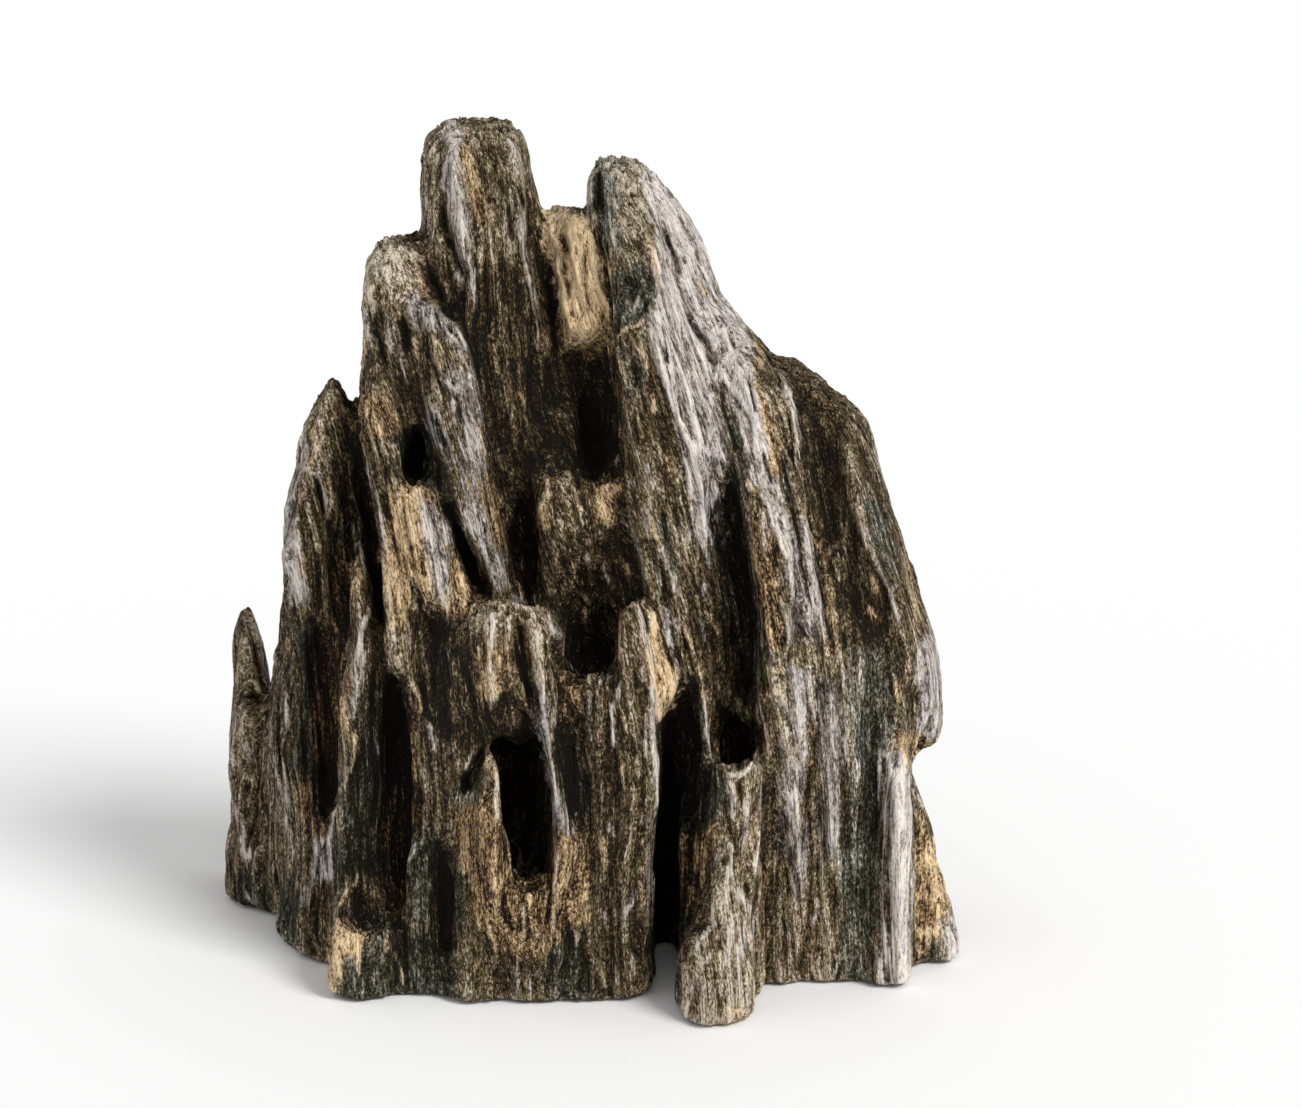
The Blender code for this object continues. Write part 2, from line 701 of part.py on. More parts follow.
def wood_material():
    """Dark, dry, dull wood."""
    material = bpy.data.materials.new("dark dry wood")
    material.use_nodes = True
    shader = material.node_tree.nodes["Principled BSDF"]
    shader.inputs["Base Color"].default_value = WOOD_COLOUR
    shader.inputs["Roughness"].default_value = WOOD_ROUGHNESS
    shader.inputs["Metallic"].default_value = 0.0
    return material


def main():
    clear_scene()
    block = make_block()
    thin_out(block)
    centre(block)
    block.name = "agarwood"
    block.data.materials.append(wood_material())
    group = bpy.data.collections.new("agarwood piece")
    bpy.context.scene.collection.children.link(group)
    bpy.context.scene.collection.objects.unlink(block)
    group.objects.link(block)


main()
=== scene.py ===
"""The looks of a piece of agarwood: its sculpted skin, its grain and its place in a pale studio."""

import math

import bmesh
import bpy
import numpy as np
from bpy.props import FloatProperty, FloatVectorProperty, IntProperty, PointerProperty
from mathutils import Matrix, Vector
from mathutils.bvhtree import BVHTree


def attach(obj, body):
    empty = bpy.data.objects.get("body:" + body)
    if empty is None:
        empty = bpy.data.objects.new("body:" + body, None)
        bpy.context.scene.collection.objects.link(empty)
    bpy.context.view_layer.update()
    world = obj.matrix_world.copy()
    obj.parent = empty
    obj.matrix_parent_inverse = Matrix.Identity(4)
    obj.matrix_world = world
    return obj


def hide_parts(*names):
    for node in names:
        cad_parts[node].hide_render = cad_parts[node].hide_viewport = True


bl_info = {
    "name": "Agarwood piece",
    "version": (1, 0, 0),
    "blender": (4, 5, 0),
    "location": "View3D > Sidebar > Agarwood",
    "description": "Builds a weathered piece of resin wood and the pale studio that it stands in",
    "category": "Object",
}

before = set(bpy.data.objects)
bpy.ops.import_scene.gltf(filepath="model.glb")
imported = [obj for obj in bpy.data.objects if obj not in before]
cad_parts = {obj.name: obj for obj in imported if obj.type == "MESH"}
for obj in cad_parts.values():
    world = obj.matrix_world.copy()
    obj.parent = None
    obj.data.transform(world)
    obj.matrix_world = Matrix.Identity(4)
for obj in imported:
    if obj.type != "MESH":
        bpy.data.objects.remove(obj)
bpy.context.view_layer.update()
MM = 0.001

# Places and sizes below are in millimetres. A wave, dent or streak has its width across the fibres,
# its length along them and how far it reaches.

# The layout that the wood's features are placed in: across and up are seen from here, across from the
# middle of the block and up from the front edge of its base.
VIEW_TILT = math.radians(15.0)
VIEW_DISTANCE = 450.0
AIM = np.array([8.196, 2.737, 48.812])
AIM_ACROSS = 6.84
AIM_UP = 53.88
FORWARD = np.array([0.0, math.cos(VIEW_TILT), -math.sin(VIEW_TILT)])
UPWARD = np.array([0.0, math.sin(VIEW_TILT), math.cos(VIEW_TILT)])
EYE = AIM - FORWARD * VIEW_DISTANCE
SENSOR = 36.0
PICTURE_WIDTH = 1302 * 0.12
# How far a ray to the eye looks for wood, in metres, and how far over the skin it starts.
SIGHT_REACH = 0.2
SIGHT_LIFT = 0.25

# Where the key light comes from, and how wide it is in degrees.
KEY_FROM = (0.62, -0.52, 0.80)
KEY_ANGLE = 24.0
# Half the width of the studio's floor, and the nearest and farthest that the camera sees, in metres.
FLOOR_HALF = 2.0
FLOOR_ROUGHNESS = 0.9
CLIP = (0.01, 20.0)

# The skin's first coat over the block: its cell and how often it is averaged. The block's base goes
# this far down first, to be sawn off later. Points nearer to each other than SAME are one.
COAT_CELL = 0.8
COAT_ROUNDS = 4
BASE_DOWN = -3.0
SAME = 0.01

# The fibres run straight up from the base and lean over above this height.
LEAN_LOW = 0.05
LEAN_HIGH = 0.28
LEAN_START = 42.0
LEAN_BLEND = 6.0
# The most that goes into an exponential, and a number that keeps a division from failing.
MOST = 30.0
TINY = 1e-9
# Squashing the height before the skin is made gives it faces that are long along the fibres.
SQUASH = 0.42

# Above this height the left peak's fibres lean less than the others, by this share. The left peak is
# what lies across from UPRIGHT_SIDE's first number to its second.
UPRIGHT_START = 76.0
UPRIGHT_SHARE = 0.14
UPRIGHT_SIDE = (5.0, -4.0)

# The fibres follow the front of the wood as it slopes back. Its depth is averaged over cells this wide
# and high; the first cell's place, how many there are, how often they are averaged.
DEPTH_CELL = np.array([2.0, 4.0])
DEPTH_LOW = np.array([-25.0, 0.0])
DEPTH_COUNTS = (50, 27)
DEPTH_ROUNDS = 6
# The depth of the foot of the front, and the depths between which the fibres begin to follow it.
FRONT_AT = -20.0
FOLLOW_FROM = (24.0, -6.0)
# The depths between which the drawn front begins, and how far the skin turns to the eye there.
FRONT_FROM = (30.0, 22.0)
FACING = (-0.25, 0.2)

# How the fibres wander.
SWAYS = [(9.0, 30.0, 1.5), (3.5, 13.0, 0.5)]

# Bundles of fibres: width, length, how far they stand out or back, depth of the cracks between
# them, how strongly they show in the colour, and how much of them calm places lose.
BUNDLES = [
    (6.5, 110.0, 0.28, 0.18, 0.4, 0.6),
    (2.8, 70.0, 0.22, 0.24, 0.5, 0.4),
    (1.25, 38.0, 0.18, 0.24, 0.6, 0.1),
]
# How wide a bundle's rounded edge and its crack are, as shares of its width.
BUNDLE_EDGE = 0.35
BUNDLE_CRACK = 0.28
# The cracks open and close along the bundle: the noise they open between, and its cells' width and
# length as shares of the bundle's.
OPENS = (-0.3, 0.4)
OPENS_CELL = (2, 0.3)

# Uneven places all over the skin.
DENTS = [(4.0, 9.0, 0.40), (1.7, 5.0, 0.26), (0.8, 2.6, 0.14)]
# How level the skin is where its broken ends begin and where they are full, how much of the relief they
# lose, how little the relief moves upwards, and the ends' length, width, seed and share of the fray.
TOP_SLOPES = (0.35, 0.8)
TOP_CALM = 0.5
LEVEL = [1.0, 1.0, 0.25]
END_LENGTH = 30.0
ENDS = [(0.9, 61, 1.0), (2.2, 65, 0.7)]

# How far the edges of the drawn areas and lines wander.
WANDERS = [(2.5, 6.0, 0.45), (0.8, 2.2, 0.25)]

# Streaks that the edges of the drawn areas break up into, and how far outside the edges they reach.
FRINGES = [(0.7, 6.0, 0.9), (0.35, 2.5, 0.5)]
FRINGE_REACH = 1.0

# Drawn lines: how much of their length tapers at each end, how blunt the ends are as a share of it,
# how wide they start, how sharp their tops are. They colour the wood unevenly: width and length of the
# gaps, then the mean, how far it varies, and its limits.
LINE_TAPER = 0.3
LINE_BLUNT = 0.04
LINE_START = 0.45
LINE_SHARP = 1.2
LINE_GAPS = [0.6, 0.6, 2.4]
LINE_INK = (0.8, 0.6, 0.2, 1.3)

# What scatters the numbers of noise over its cells, and which of their bits are kept.
SCATTER = (73856093, 19349663, 83492791, 97531)
STIRS = [(13, 1274126177), (16, 668265263)]
STIR_BITS = 0x7FFFFFFF
LAST_BITS = 0xFFFF
# Where each kind of noise starts its numbers.
SWAY_SEEDS = (11, 21)
BUNDLE_SEED = 31
BUNDLE_SEED_STEP = 7
DENT_SEED = 71
WANDER_SEEDS = (81, 91)
INK_SEED = 97
FRINGE_SEED = 101
BACK_SEED = 61
BACK_TINT_SEED = 71

# The green tint is greenish wood, and where it lies dark in holes, gaps and grooves it is painted shade.
TINTS = ("pale", "tan", "green")
TINT_SHARE = 0.85
# Streaks of the sides and back: width, length and how much lighter or darker they are, then for each
# tint the width and length of its patches and the noise they start and end at.
BACK_TONE = 0.06
BACK_STREAKS = [(9.0, 36.0, 0.20), (3.4, 22.0, 0.22), (1.3, 9.0, 0.14)]
BACK_TINTS = {
    "pale": (6.5, 34.0, 0.10, 0.50),
    "tan": (4.0, 16.0, 0.25, 0.60),
    "green": (5.5, 24.0, 0.20, 0.60),
}

# How much each point stands out from the skin averaged this often, as a share of this height.
# In the colour, standing out is a painted highlight on crests and sinking in is painted shade in
# troughs.
BULGES = [(3, 0.05), (12, 0.16), (50, 0.5)]
BULGE_LIMIT = 1.5
# How much of the sky other wood hides: rays, how far they look, how far over the skin they start, a
# direction that no skin faces, and how often the answer is averaged.
# The colour is darkened by this share as painted shade in the hollows.
SKY_RAYS = 16
SKY_REACH = 14.0
SKY_LIFT = 0.3
SKY_SLANT = [0.31, 0.17, 0.94]
SKY_ROUNDS = 2
SEEN_ROUNDS = 3

# Behind and below these, or turned from the eye by more, faces are worth little: FRONT_WORTH is how
# much dearer it is to lose a face on the front, and FRONT_GROUP is the front's weight.
BEHIND_TURN = -0.15
BEHIND_DEPTH = 24.0
BEHIND_HEIGHT = 0.1
FRONT_WORTH = 2e-5
FRONT_GROUP = 0.1

# Noises of the finish: width, length, detail, roughness and shift, which goes along the three axes in
# these shares. The first bends the fibres, by BEND across, across and along.
SHIFT = (1.0, 0.37, 0.11)
BEND_NOISE = (1.4, 5.0, 2.0, 0.60, 3.0)
BEND = (0.4, 0.4, 2.0)
NOISES = {
    "fine": (0.34, 5.0, 4.0, 0.75, 5.0),
    "grit": (0.25, 0.46, 2.0, 0.72, 23.0),
    "mottle": (0.80, 1.10, 3.0, 0.60, 71.0),
    "streak": (1.1, 22.0, 4.0, 0.65, 7.0),
    "pit": (0.45, 1.6, 2.0, 0.60, 31.0),
    "sliver": (0.30, 6.0, 2.0, 0.60, 43.0),
    "patchy": (0.70, 8.0, 3.0, 0.70, 83.0),
    "broad": (6.0, 26.0, 3.0, 0.55, 19.0),
    "hue": (1.2, 3.0, 5.0, 0.80, 53.0),
    "rust": (2.2, 9.0, 3.0, 0.60, 61.0),
}
# Those that lie along the straight fibres rather than the bent ones.
STRAIGHT = ("broad", "hue", "rust")
# Those that are masks: where the mask starts and ends.
STEPS = {
    "pit": (0.58, 0.70), "sliver": (0.60, 0.72), "patchy": (0.36, 0.64), "hue": (0.40, 0.60),
    "rust": (0.62, 0.84),
}
# Single fibres: width, length and where the crack beside them ends. How much lighter the patchy places
# make what is drawn, and how little the others do.
THREAD = (0.55, 15.0)
THREAD_CRACK = 0.16
PATCHY = (0.9, 0.55)
# What makes the wood lighter or darker and by how much, and how much more so where it is bleached:
# first its grain, then a darker level, then what the skin's shape adds.
GRAIN_TONES = [
    ("fine", 0.65), ("grit", 1.75, -0.80), ("mottle", 0.55), ("thread", 0.22),
    ("streak", 0.40, 0.55), ("broad", 0.22)]
TONE_LEVEL = 0.455
# The skin's shape: sky that other wood hides darkens the colour as painted shade in the hollows; bulge
# lightens crests as a painted highlight and darkens troughs as painted shade.
SHAPE_TONES = [
    ("fissure", -0.10), ("pit", -0.12), ("sliver", 0.28), ("bundle", 0.06), ("crack", -0.14),
    ("bulge", 0.15), ("hidden", -0.20)]
# The finish's own relief, and its roughness: share of the fine grain and the least.
RELIEF = [
    ("fine", 0.26), ("grit", 0.24, -0.12), ("mottle", 0.10), ("thread", 0.07), ("streak", 0.10),
    ("fissure", -0.09), ("pit", -0.14), ("sliver", 0.08)]
ROUGHNESS = (0.25, 0.58)
SHINE = 0.15
# The colours from dark to light, by tone.
RAMPS = {
    "olive": [(0.05, "deep"), (0.28, "brown"), (0.48, "olive"), (0.70, "grey"), (0.95, "cream")],
    "plum": [(0.05, "deep"), (0.28, "umber"), (0.48, "plum"), (0.70, "rose"), (0.95, "cream")],
    "pale": [(0.05, "deep"), (0.30, "slate"), (0.58, "lilac"), (0.90, "chalk")],
    "tan": [(0.05, "deep"), (0.28, "russet"), (0.55, "tan"), (0.90, "honey")],
    "green": [(0.05, "deep"), (0.28, "moss"), (0.48, "stone"), (0.70, "ash"), (0.95, "cream")],
}
# The places of a Mix node's two colours and of its colour result, whose names other sockets share.
MIX_COLOURS = (6, 7)
MIX_RESULT = 2

# Areas of the front drawn lighter or darker, with a tint: tint, how much lighter than plain wood, how
# soft the edge is, then the outline's corners, across and up by turns. Each lies over the ones before
# it.
# Many are the wood's own colour; the dark ones in holes, gaps and hollows are painted shade, and the
# lightened tan wall and the light side of the hole by the spike are painted light.
PATCHES = [
    # left peak
    ("plain", 0.19, 0.7, [-20.6, 103, -18.2, 105.5, -17.8, 100, -18.4, 96, -18.9, 92, -19, 88,
        -19.8, 88.5, -20.4, 91, -21.4, 98]),
    ("plain", 0.2, 0.8, [-18, 105.5, -9, 105.5, -7.4, 99, -8.4, 91, -7.6, 86, -16, 86, -18.4, 91]),
    ("plain", -0.08, 1.2, [-18.2, 89, -8.4, 89, -7.2, 84, -6.6, 75, -13.4, 75, -15.4, 80]),
    ("pale", 0.2, 0.9, [-18, 105.5, -15.8, 105.5, -15.6, 101, -15.6, 98, -15.4, 94, -15, 90, -14.7, 86,
        -15.2, 86, -15.9, 89, -16.5, 92, -17, 96, -17.7, 99]),
    ("tan", 0.1, 0.9, [-15.8, 104.6, -15, 102, -13.8, 99.5, -13, 96.5, -12.7, 94, -14, 94, -15.3, 97,
        -15.7, 100]),
    ("plain", 0.08, 0.8, [-14.6, 104.8, -10.6, 104.6, -9.4, 102, -9.4, 98.5, -9.9, 96, -12, 95.5,
        -13.1, 99, -14, 102]),
    # tan wall, lightened as painted light where the right peak shades it
    ("tan", 0.64, 0.8, [-6.6, 97, -5, 95.8, -1, 95, 0, 93.6, 1, 91, 1.9, 88.8, 2.3, 86.5, 2.3, 84,
        2.1, 81, 0, 80.5, -2.5, 81, -3.6, 82.8, -4.6, 85.5, -5.5, 89.5]),
    ("tan", 0.3, 1.8, [-4.6, 83.6, 2.1, 81.4, 2, 77, 0.5, 75.6, -2, 75.4, -5, 76]),
    # right peak
    ("plain", 0.36, 0.4, [-1.2, 102, 2, 102.4, 5, 101.8, 6.3, 97.5, 7, 93, 7.8, 88, 8.3, 85, 6.5, 86.3,
        5, 88, 3.5, 88, 2.3, 86.5, 1.6, 89.5, 0.3, 93.5, -1, 96]),
    ("plain", 0.16, 0.8, [0.8, 92.6, 6.8, 93.6, 7.4, 90, 7.9, 87, 6.5, 86.3, 5, 88, 3.5, 88, 2.3, 86.5,
        1.6, 89.5]),
    ("plain", 0.14, 1, [2.2, 81, 6.8, 82, 7.6, 79, 8.4, 75, 9.6, 71, 11, 67, 12.6, 62, 13, 52, 8, 50,
        5, 52, 3.6, 60, 3, 66, 2.6, 72]),
    ("green", 0.3, 1.2, [-1, 101.4, 3.6, 102, 3.6, 95, 3.2, 90, 1.4, 91, 0.4, 94, -0.8, 97]),
    ("plain", 0.06, 0.8, [3.4, 81, 6.6, 81.6, 7.4, 79, 8.2, 75, 9.4, 71, 10.4, 68, 6, 67, 4.6, 72]),
    ("green", 0.03, 0.5, [2.2, 86.3, 3.4, 88.2, 5, 88.4, 6.4, 87, 7.6, 85.4, 8.3, 84.2, 6.6, 82.8,
        5, 81.6, 3.4, 80.6, 2.3, 80.6, 2.1, 83.8]),
    ("green", 0.05, 0.6, [3.8, 76.8, 4.6, 77.6, 5.4, 76.2, 6, 74.6, 5.6, 73, 4.7, 72.2, 3.9, 73,
        3.7, 75]),
    ("pale", 0.29, 0.5, [5.2, 102, 8, 99.4, 10.5, 97, 13.4, 95, 15, 89.5, 16.8, 85, 18.4, 81.8,
        19.4, 79.5, 19.4, 75, 20, 71, 20.8, 67, 22, 62, 23.4, 57, 24.2, 53, 22.8, 54, 21, 58, 19.8, 61,
        18.3, 62, 18, 66, 17, 69.5, 15.5, 74.5, 14, 73, 13.8, 68, 14.2, 62, 14.2, 56, 13.8, 53, 13, 56,
        12.4, 61, 11.2, 66, 9.6, 71, 8.6, 75, 7.4, 80, 6.8, 82.6, 8.2, 84.6, 7.6, 88, 7, 92, 6.3, 96]),
    ("tan", 0.14, 0.6, [19.4, 79.8, 20.6, 78.4, 20.2, 75, 20.6, 72, 21.2, 68, 22.2, 64, 21, 64, 20.2, 68,
        19.7, 72, 19.3, 76]),
    ("plain", 0.05, 0.6, [20.6, 78.6, 21.6, 77.2, 22.4, 74.6, 23.4, 72.2, 24, 70, 24.2, 67.5, 23.8, 64,
        22.6, 66, 21.4, 69, 20.6, 72, 20.3, 75]),
    ("pale", 0.26, 0.7, [11.2, 71, 14.8, 74, 15.8, 66, 15.2, 57, 12.2, 56]),
    ("green", -0.02, 0.7, [7.6, 58, 10, 58, 10.4, 54, 9.8, 50, 8.2, 49.6, 7.8, 54]),
    # long groove
    ("green", -0.04, 0.7, [15.6, 63, 17.6, 66.4, 18.1, 63, 18, 60.5, 18.8, 57, 19, 53, 19.3, 50,
        20.2, 47, 21, 43, 20.6, 40, 19, 37.6, 16.6, 38, 15.8, 43, 15.6, 48, 15.3, 53, 15.2, 58]),
    ("green", -0.14, 0.7, [16.4, 61, 17.8, 63, 18.4, 57, 18.6, 53, 18.2, 51, 16.8, 51, 16.2, 55]),
    ("plain", 0.05, 0.9, [13, 43, 16, 46, 17, 40, 19.4, 38, 19.8, 34, 17.6, 34, 15, 36, 13.6, 40]),
    ("tan", -0.16, 0.8, [19.9, 60, 20.6, 54, 22.4, 55, 22.6, 50, 23, 46, 22.4, 42, 20.8, 43, 20.2, 47,
        19.2, 52, 19, 58]),
    ("pale", 0.05, 0.7, [23.6, 56, 25.6, 58, 26.6, 54, 27.4, 48, 27.6, 44, 24.6, 43, 23.2, 46,
        23.8, 51]),
    # right shoulder
    ("plain", 0.06, 1, [28.4, 74, 31, 72.6, 33, 70, 34.6, 65.5, 36, 61, 37, 56, 38.4, 52, 40, 49.5,
        41.4, 46.5, 42.4, 40, 42.6, 35, 42, 31, 39, 30.6, 38.6, 34, 38.6, 40, 37.4, 46, 36.4, 50, 35, 53,
        33, 58, 31.6, 62, 31, 68]),
    ("plain", 0.32, 0.8, [25, 67, 26, 76, 30, 72, 31, 64, 33, 54, 29, 50, 27.4, 56]),
    ("plain", -0.03, 0.8, [24.6, 67, 24.2, 77.4, 26, 76.4, 29, 73.4, 30.6, 70, 30.4, 64, 31.2, 61,
        31.8, 58.5, 32.6, 56, 33.5, 53.5, 34.6, 51.2, 35.6, 49, 36, 46, 36.4, 42, 36, 37, 34.8, 34,
        32.6, 36, 30.6, 40, 29.2, 44, 28.8, 49, 28.2, 53, 27.2, 58, 26, 62.5, 25, 65]),
    ("plain", -0.18, 1, [29.2, 50, 34.4, 50, 35.8, 46, 36.2, 42, 35.8, 37, 34.8, 34, 32.6, 36, 30.6, 40,
        29.2, 44]),
    ("green", 0.08, 0.5, [32, 60, 34.8, 60.5, 35.8, 57, 36.6, 53, 36.5, 51, 35.2, 51.2, 33.8, 54,
        32.6, 57]),
    ("pale", 0.16, 0.6, [39.2, 44, 41.6, 44, 42.4, 38, 42.4, 32, 40.8, 31, 38.6, 31.6, 38.2, 34,
        38.8, 37, 39, 40]),
    ("tan", 0.14, 0.6, [36.4, 32.6, 39, 32, 40, 31, 39, 30, 37.6, 28.4, 36.6, 29, 36, 31]),
    # lower right
    ("plain", 0.2, 1, [20.4, 40, 25, 44, 30.4, 42, 30.6, 30, 30, 20, 29.6, 8, 29.6, 0, 20, 0, 20.4, 20]),
    ("green", 0.11, 0.6, [30.4, 43, 35.4, 42, 36.2, 38, 35.8, 33, 34.4, 31, 34.7, 28, 34.5, 24, 35, 20,
        34.6, 16, 34, 10, 33.2, 6, 33.6, 0, 29.8, 0, 30, 8, 29.2, 14, 30, 20, 30.6, 26, 30.8, 32]),
    ("pale", 0.1, 0.7, [23, 40, 25.4, 40, 25.6, 33, 25.2, 26, 25.2, 18, 24.4, 13, 23.2, 16, 22.6, 20,
        23.2, 26, 22.8, 32]),
    ("pale", 0.07, 0.7, [27, 39, 29.8, 39, 30, 30, 29.4, 24, 28.6, 18, 27.4, 17, 26.8, 24, 27.4, 32]),
    ("pale", 0.3, 0.8, [34.1, 30.2, 36.4, 30.8, 38.2, 29, 38.2, 26.4, 39, 24, 38.6, 20, 38.6, 14,
        38.3, 8, 38.6, 0, 36.4, 0, 34.1, 5, 34.1, 8, 35, 12, 34.8, 16, 34.7, 20, 34.4, 24, 34.4, 27]),
    ("tan", 0.27, 0.4, [38.8, 23.5, 39.8, 22.4, 40.8, 19.5, 42, 17.5, 42.4, 15, 43, 12.4, 42.4, 9,
        41.6, 7.4, 40, 6.6, 38.8, 4, 38.5, 9, 38.8, 14, 38.7, 18]),
    ("green", 0.02, 0.4, [41.6, 8.2, 41.4, 5, 41.4, 0, 39.2, 0, 39.2, 4.6, 40.2, 6.2]),
    ("pale", 0.2, 0.3, [42.2, 9.6, 43.4, 12, 44.4, 9, 44.4, 0, 41.6, 0, 41.8, 6]),
    # column under the rim hole, and the front foot
    ("plain", 0.14, 0.7, [15.6, 28, 19.4, 29, 20.4, 27, 20.3, 20, 19.9, 14, 19.7, 9, 18.4, 12, 17.2, 17,
        15.6, 21, 15.8, 24]),
    ("plain", 0.23, 0.5, [15.6, 20, 16.4, 19, 17, 15.6, 18.4, 13, 19.8, 9, 19.8, -4, 9.2, -4, 9.6, 2,
        10.4, 4, 12, 6.4, 13.2, 9, 14, 12, 13.9, 15, 14.8, 17.6]),
    # hole with the rim; its dark green patch is painted shade inside the hole
    ("tan", 0.02, 0.4, [13.9, 34.6, 14.8, 35.4, 16.6, 33.5, 17, 31, 17.2, 29.6, 15.6, 29.2, 14.4, 30.4,
        13.7, 32]),
    ("green", -0.35, 0.4, [15, 35.8, 17, 34.4, 17.4, 32.4, 18.8, 31.8, 19, 30, 18.4, 28.8, 16.6, 28.4,
        17, 30, 16.6, 32.6, 15.4, 34.2]),
    # gaps beside the lone spire, darkened as painted shade
    ("green", -0.12, 0.8, [10.2, 39, 12, 39, 13, 35, 13.2, 31, 13.8, 28, 15, 24, 15.4, 21.5, 14, 18,
        12, 14, 11, 8, 10, 8, 9.8, 20, 9.8, 32]),
    ("green", -0.28, 0.5, [8.1, 34, 9.6, 34, 9.8, 26, 10, 20, 10, 12, 9.7, 8, 9.7, 0, 6.6, 0, 7, 10,
        7.2, 20, 8, 26]),
    ("green", 0, 0.8, [13.6, 28.6, 15.6, 27.6, 15.8, 24, 15, 21, 14, 22, 13.4, 25]),
    ("tan", -0.02, 0.9, [10.6, 20, 12.6, 22, 15, 21.6, 14.4, 18, 13.4, 14, 11.4, 11, 10.4, 14]),
    # lone spire
    ("plain", -0.02, 0.6, [2.8, 45, 4.6, 48.4, 5.6, 46, 6.4, 42, 6.8, 38, 7.4, 33, 7.2, 20, 6.9, 8, 6, 0,
        0.6, 0, 1.6, 20, 2.2, 36, 3, 40]),
    ("tan", 0.58, 0.4, [6.4, 44, 7.6, 47, 8.6, 44.6, 9.4, 42, 9.9, 39, 9.8, 36.6, 9.2, 35, 8.2, 34.4,
        7.8, 36, 7, 40]),
    ("tan", 0.1, 0.5, [1.4, 48, 2.4, 49, 3.2, 46, 3, 42, 2.2, 40.6, 1.6, 44]),
    ("pale", 0.2, 0.5, [8.2, 48, 9, 48.4, 9.8, 46, 10, 42.6, 9.2, 43, 8.6, 45.4]),
    # middle; its darker areas are painted shade in its recesses
    ("plain", -0.14, 1.6, [-14, 80, -6, 78, 2, 77, 2.6, 70, 3, 63, -1, 62.4, -8, 63, -12, 66]),
    ("green", -0.3, 1, [-2.6, 70, 0, 73, 2.2, 72, 3, 66, 2.4, 63, 0.4, 63, -1.6, 65]),
    ("plain", -0.05, 1.2, [-8, 58, -5, 60, 0, 58, 4, 58, 6, 54, 6, 49, 3, 47, 2, 41, -4, 41, -6, 47,
        -7.4, 52]),
    ("tan", 0.26, 0.7, [-0.2, 62, 2, 63, 3.4, 62, 3, 59.5, 2.2, 57.8, 0.8, 58.4, -0.2, 60]),
    ("plain", 0.12, 0.6, [-5.8, 63, -3, 63.2, -2.2, 61.5, -2.4, 59.6, -5, 59.6]),
    ("tan", 0.12, 0.5, [-7.6, 58.2, -6.4, 59.6, -5, 58.8, -5.6, 57, -7, 57]),
    ("tan", -0.16, 0.8, [-10.4, 60, -7.6, 59, -7, 55, -6.6, 50, -7.4, 48.6, -9.8, 48.6, -10, 54]),
    # second spire
    ("plain", 0.38, 0.6, [-28.2, 90, -25, 92.4, -20.4, 90.6, -20.4, 88, -20, 85, -22, 84, -24.4, 84.6,
        -26.4, 82, -27, 76, -28.4, 75]),
    ("plain", 0.3, 0.7, [-26.6, 88, -24.8, 87.4, -24.2, 84.4, -25.4, 82.4, -26.4, 83]),
    ("plain", 0, 0.8, [-26.4, 83, -22, 84.6, -20, 79, -19.8, 74, -20.6, 71, -26, 73, -28, 70, -28.2, 74,
        -26.6, 78]),
    ("pale", -0.02, 0.7, [-22.2, 85, -20, 85, -17, 82, -15.6, 79, -14.6, 76, -14, 72.6, -15.6, 73,
        -16.2, 76.4, -17, 79, -18.4, 80.6, -20.4, 81.6, -22, 82.4]),
    ("plain", 0.06, 0.5, [-18.8, 80, -16.8, 80, -15.8, 77.4, -16.4, 75.6, -18, 75.6, -18.6, 77.6]),
    ("pale", 0.02, 0.7, [-18.2, 75.4, -16.6, 75.4, -15, 76, -14, 73, -14, 70, -13.4, 66, -13, 61,
        -12.4, 57, -11, 54, -10.2, 51, -10, 49.2, -11.6, 50, -13, 52.6, -14.4, 55, -15.6, 58, -16.4, 62,
        -15.8, 66, -15.6, 71, -16.6, 73.4]),
    ("tan", 0.02, 0.6, [-12.8, 63, -11.4, 62, -10.4, 58, -10.4, 54.6, -11.8, 55, -12.8, 58]),
    ("pale", 0.06, 0.5, [-20.6, 72.4, -19.4, 71, -17.6, 67.6, -16.8, 64, -17.4, 62.6, -18.6, 66,
        -20.4, 66]),
    ("tan", 0.06, 0.8, [-28.2, 73, -26, 73, -24, 70.6, -23.2, 68.4, -25.6, 67.4, -28.4, 69]),
    ("plain", 0.02, 0.8, [-27.2, 68, -24, 67.6, -23.6, 63, -24.4, 57, -25.6, 57, -26.8, 62]),
    # painted shade in the window through the second spire
    ("green", -0.34, 0.5, [-23.4, 68.4, -20.6, 69.6, -20.3, 63.2, -22.4, 62.8, -23.6, 65]),
    ("green", -0.06, 0.8, [-20.2, 66, -18.6, 66, -17.2, 62, -17, 59, -18.4, 60.4, -20, 62]),
    # knob
    ("tan", 0.22, 0.6, [-24, 61, -22.6, 62.6, -20.6, 61.8, -19.2, 61, -18, 59, -17.4, 57, -16.8, 55,
        -16.2, 52, -15.2, 50, -14.6, 48.4, -15, 46.6, -16.4, 45.6, -17.6, 46, -19, 48, -20, 49,
        -21.6, 48, -22.6, 45, -24.4, 44, -25, 50, -25.6, 55, -24.8, 57]),
    ("pale", 0.16, 0.6, [-20.8, 61, -18.4, 59.4, -17.2, 56, -17, 53, -17.6, 50, -18.2, 47.4, -19.6, 50,
        -20.4, 54]),
    ("plain", 0.17, 0.6, [-24.2, 45, -20.8, 45, -20.2, 41, -20.6, 38.2, -21.6, 37.4, -23, 39,
        -24.2, 40.6]),
    ("plain", -0.28, 0.9, [-20.4, 46.4, -16, 45.2, -14.6, 42, -14.4, 36, -15, 31, -19, 32, -20.4, 38]),
    # left spire
    ("pale", 0.19, 0.6, [-36.2, 66, -34.6, 70, -35, 64, -36, 58, -35.8, 54, -34.4, 50, -34.4, 47.4,
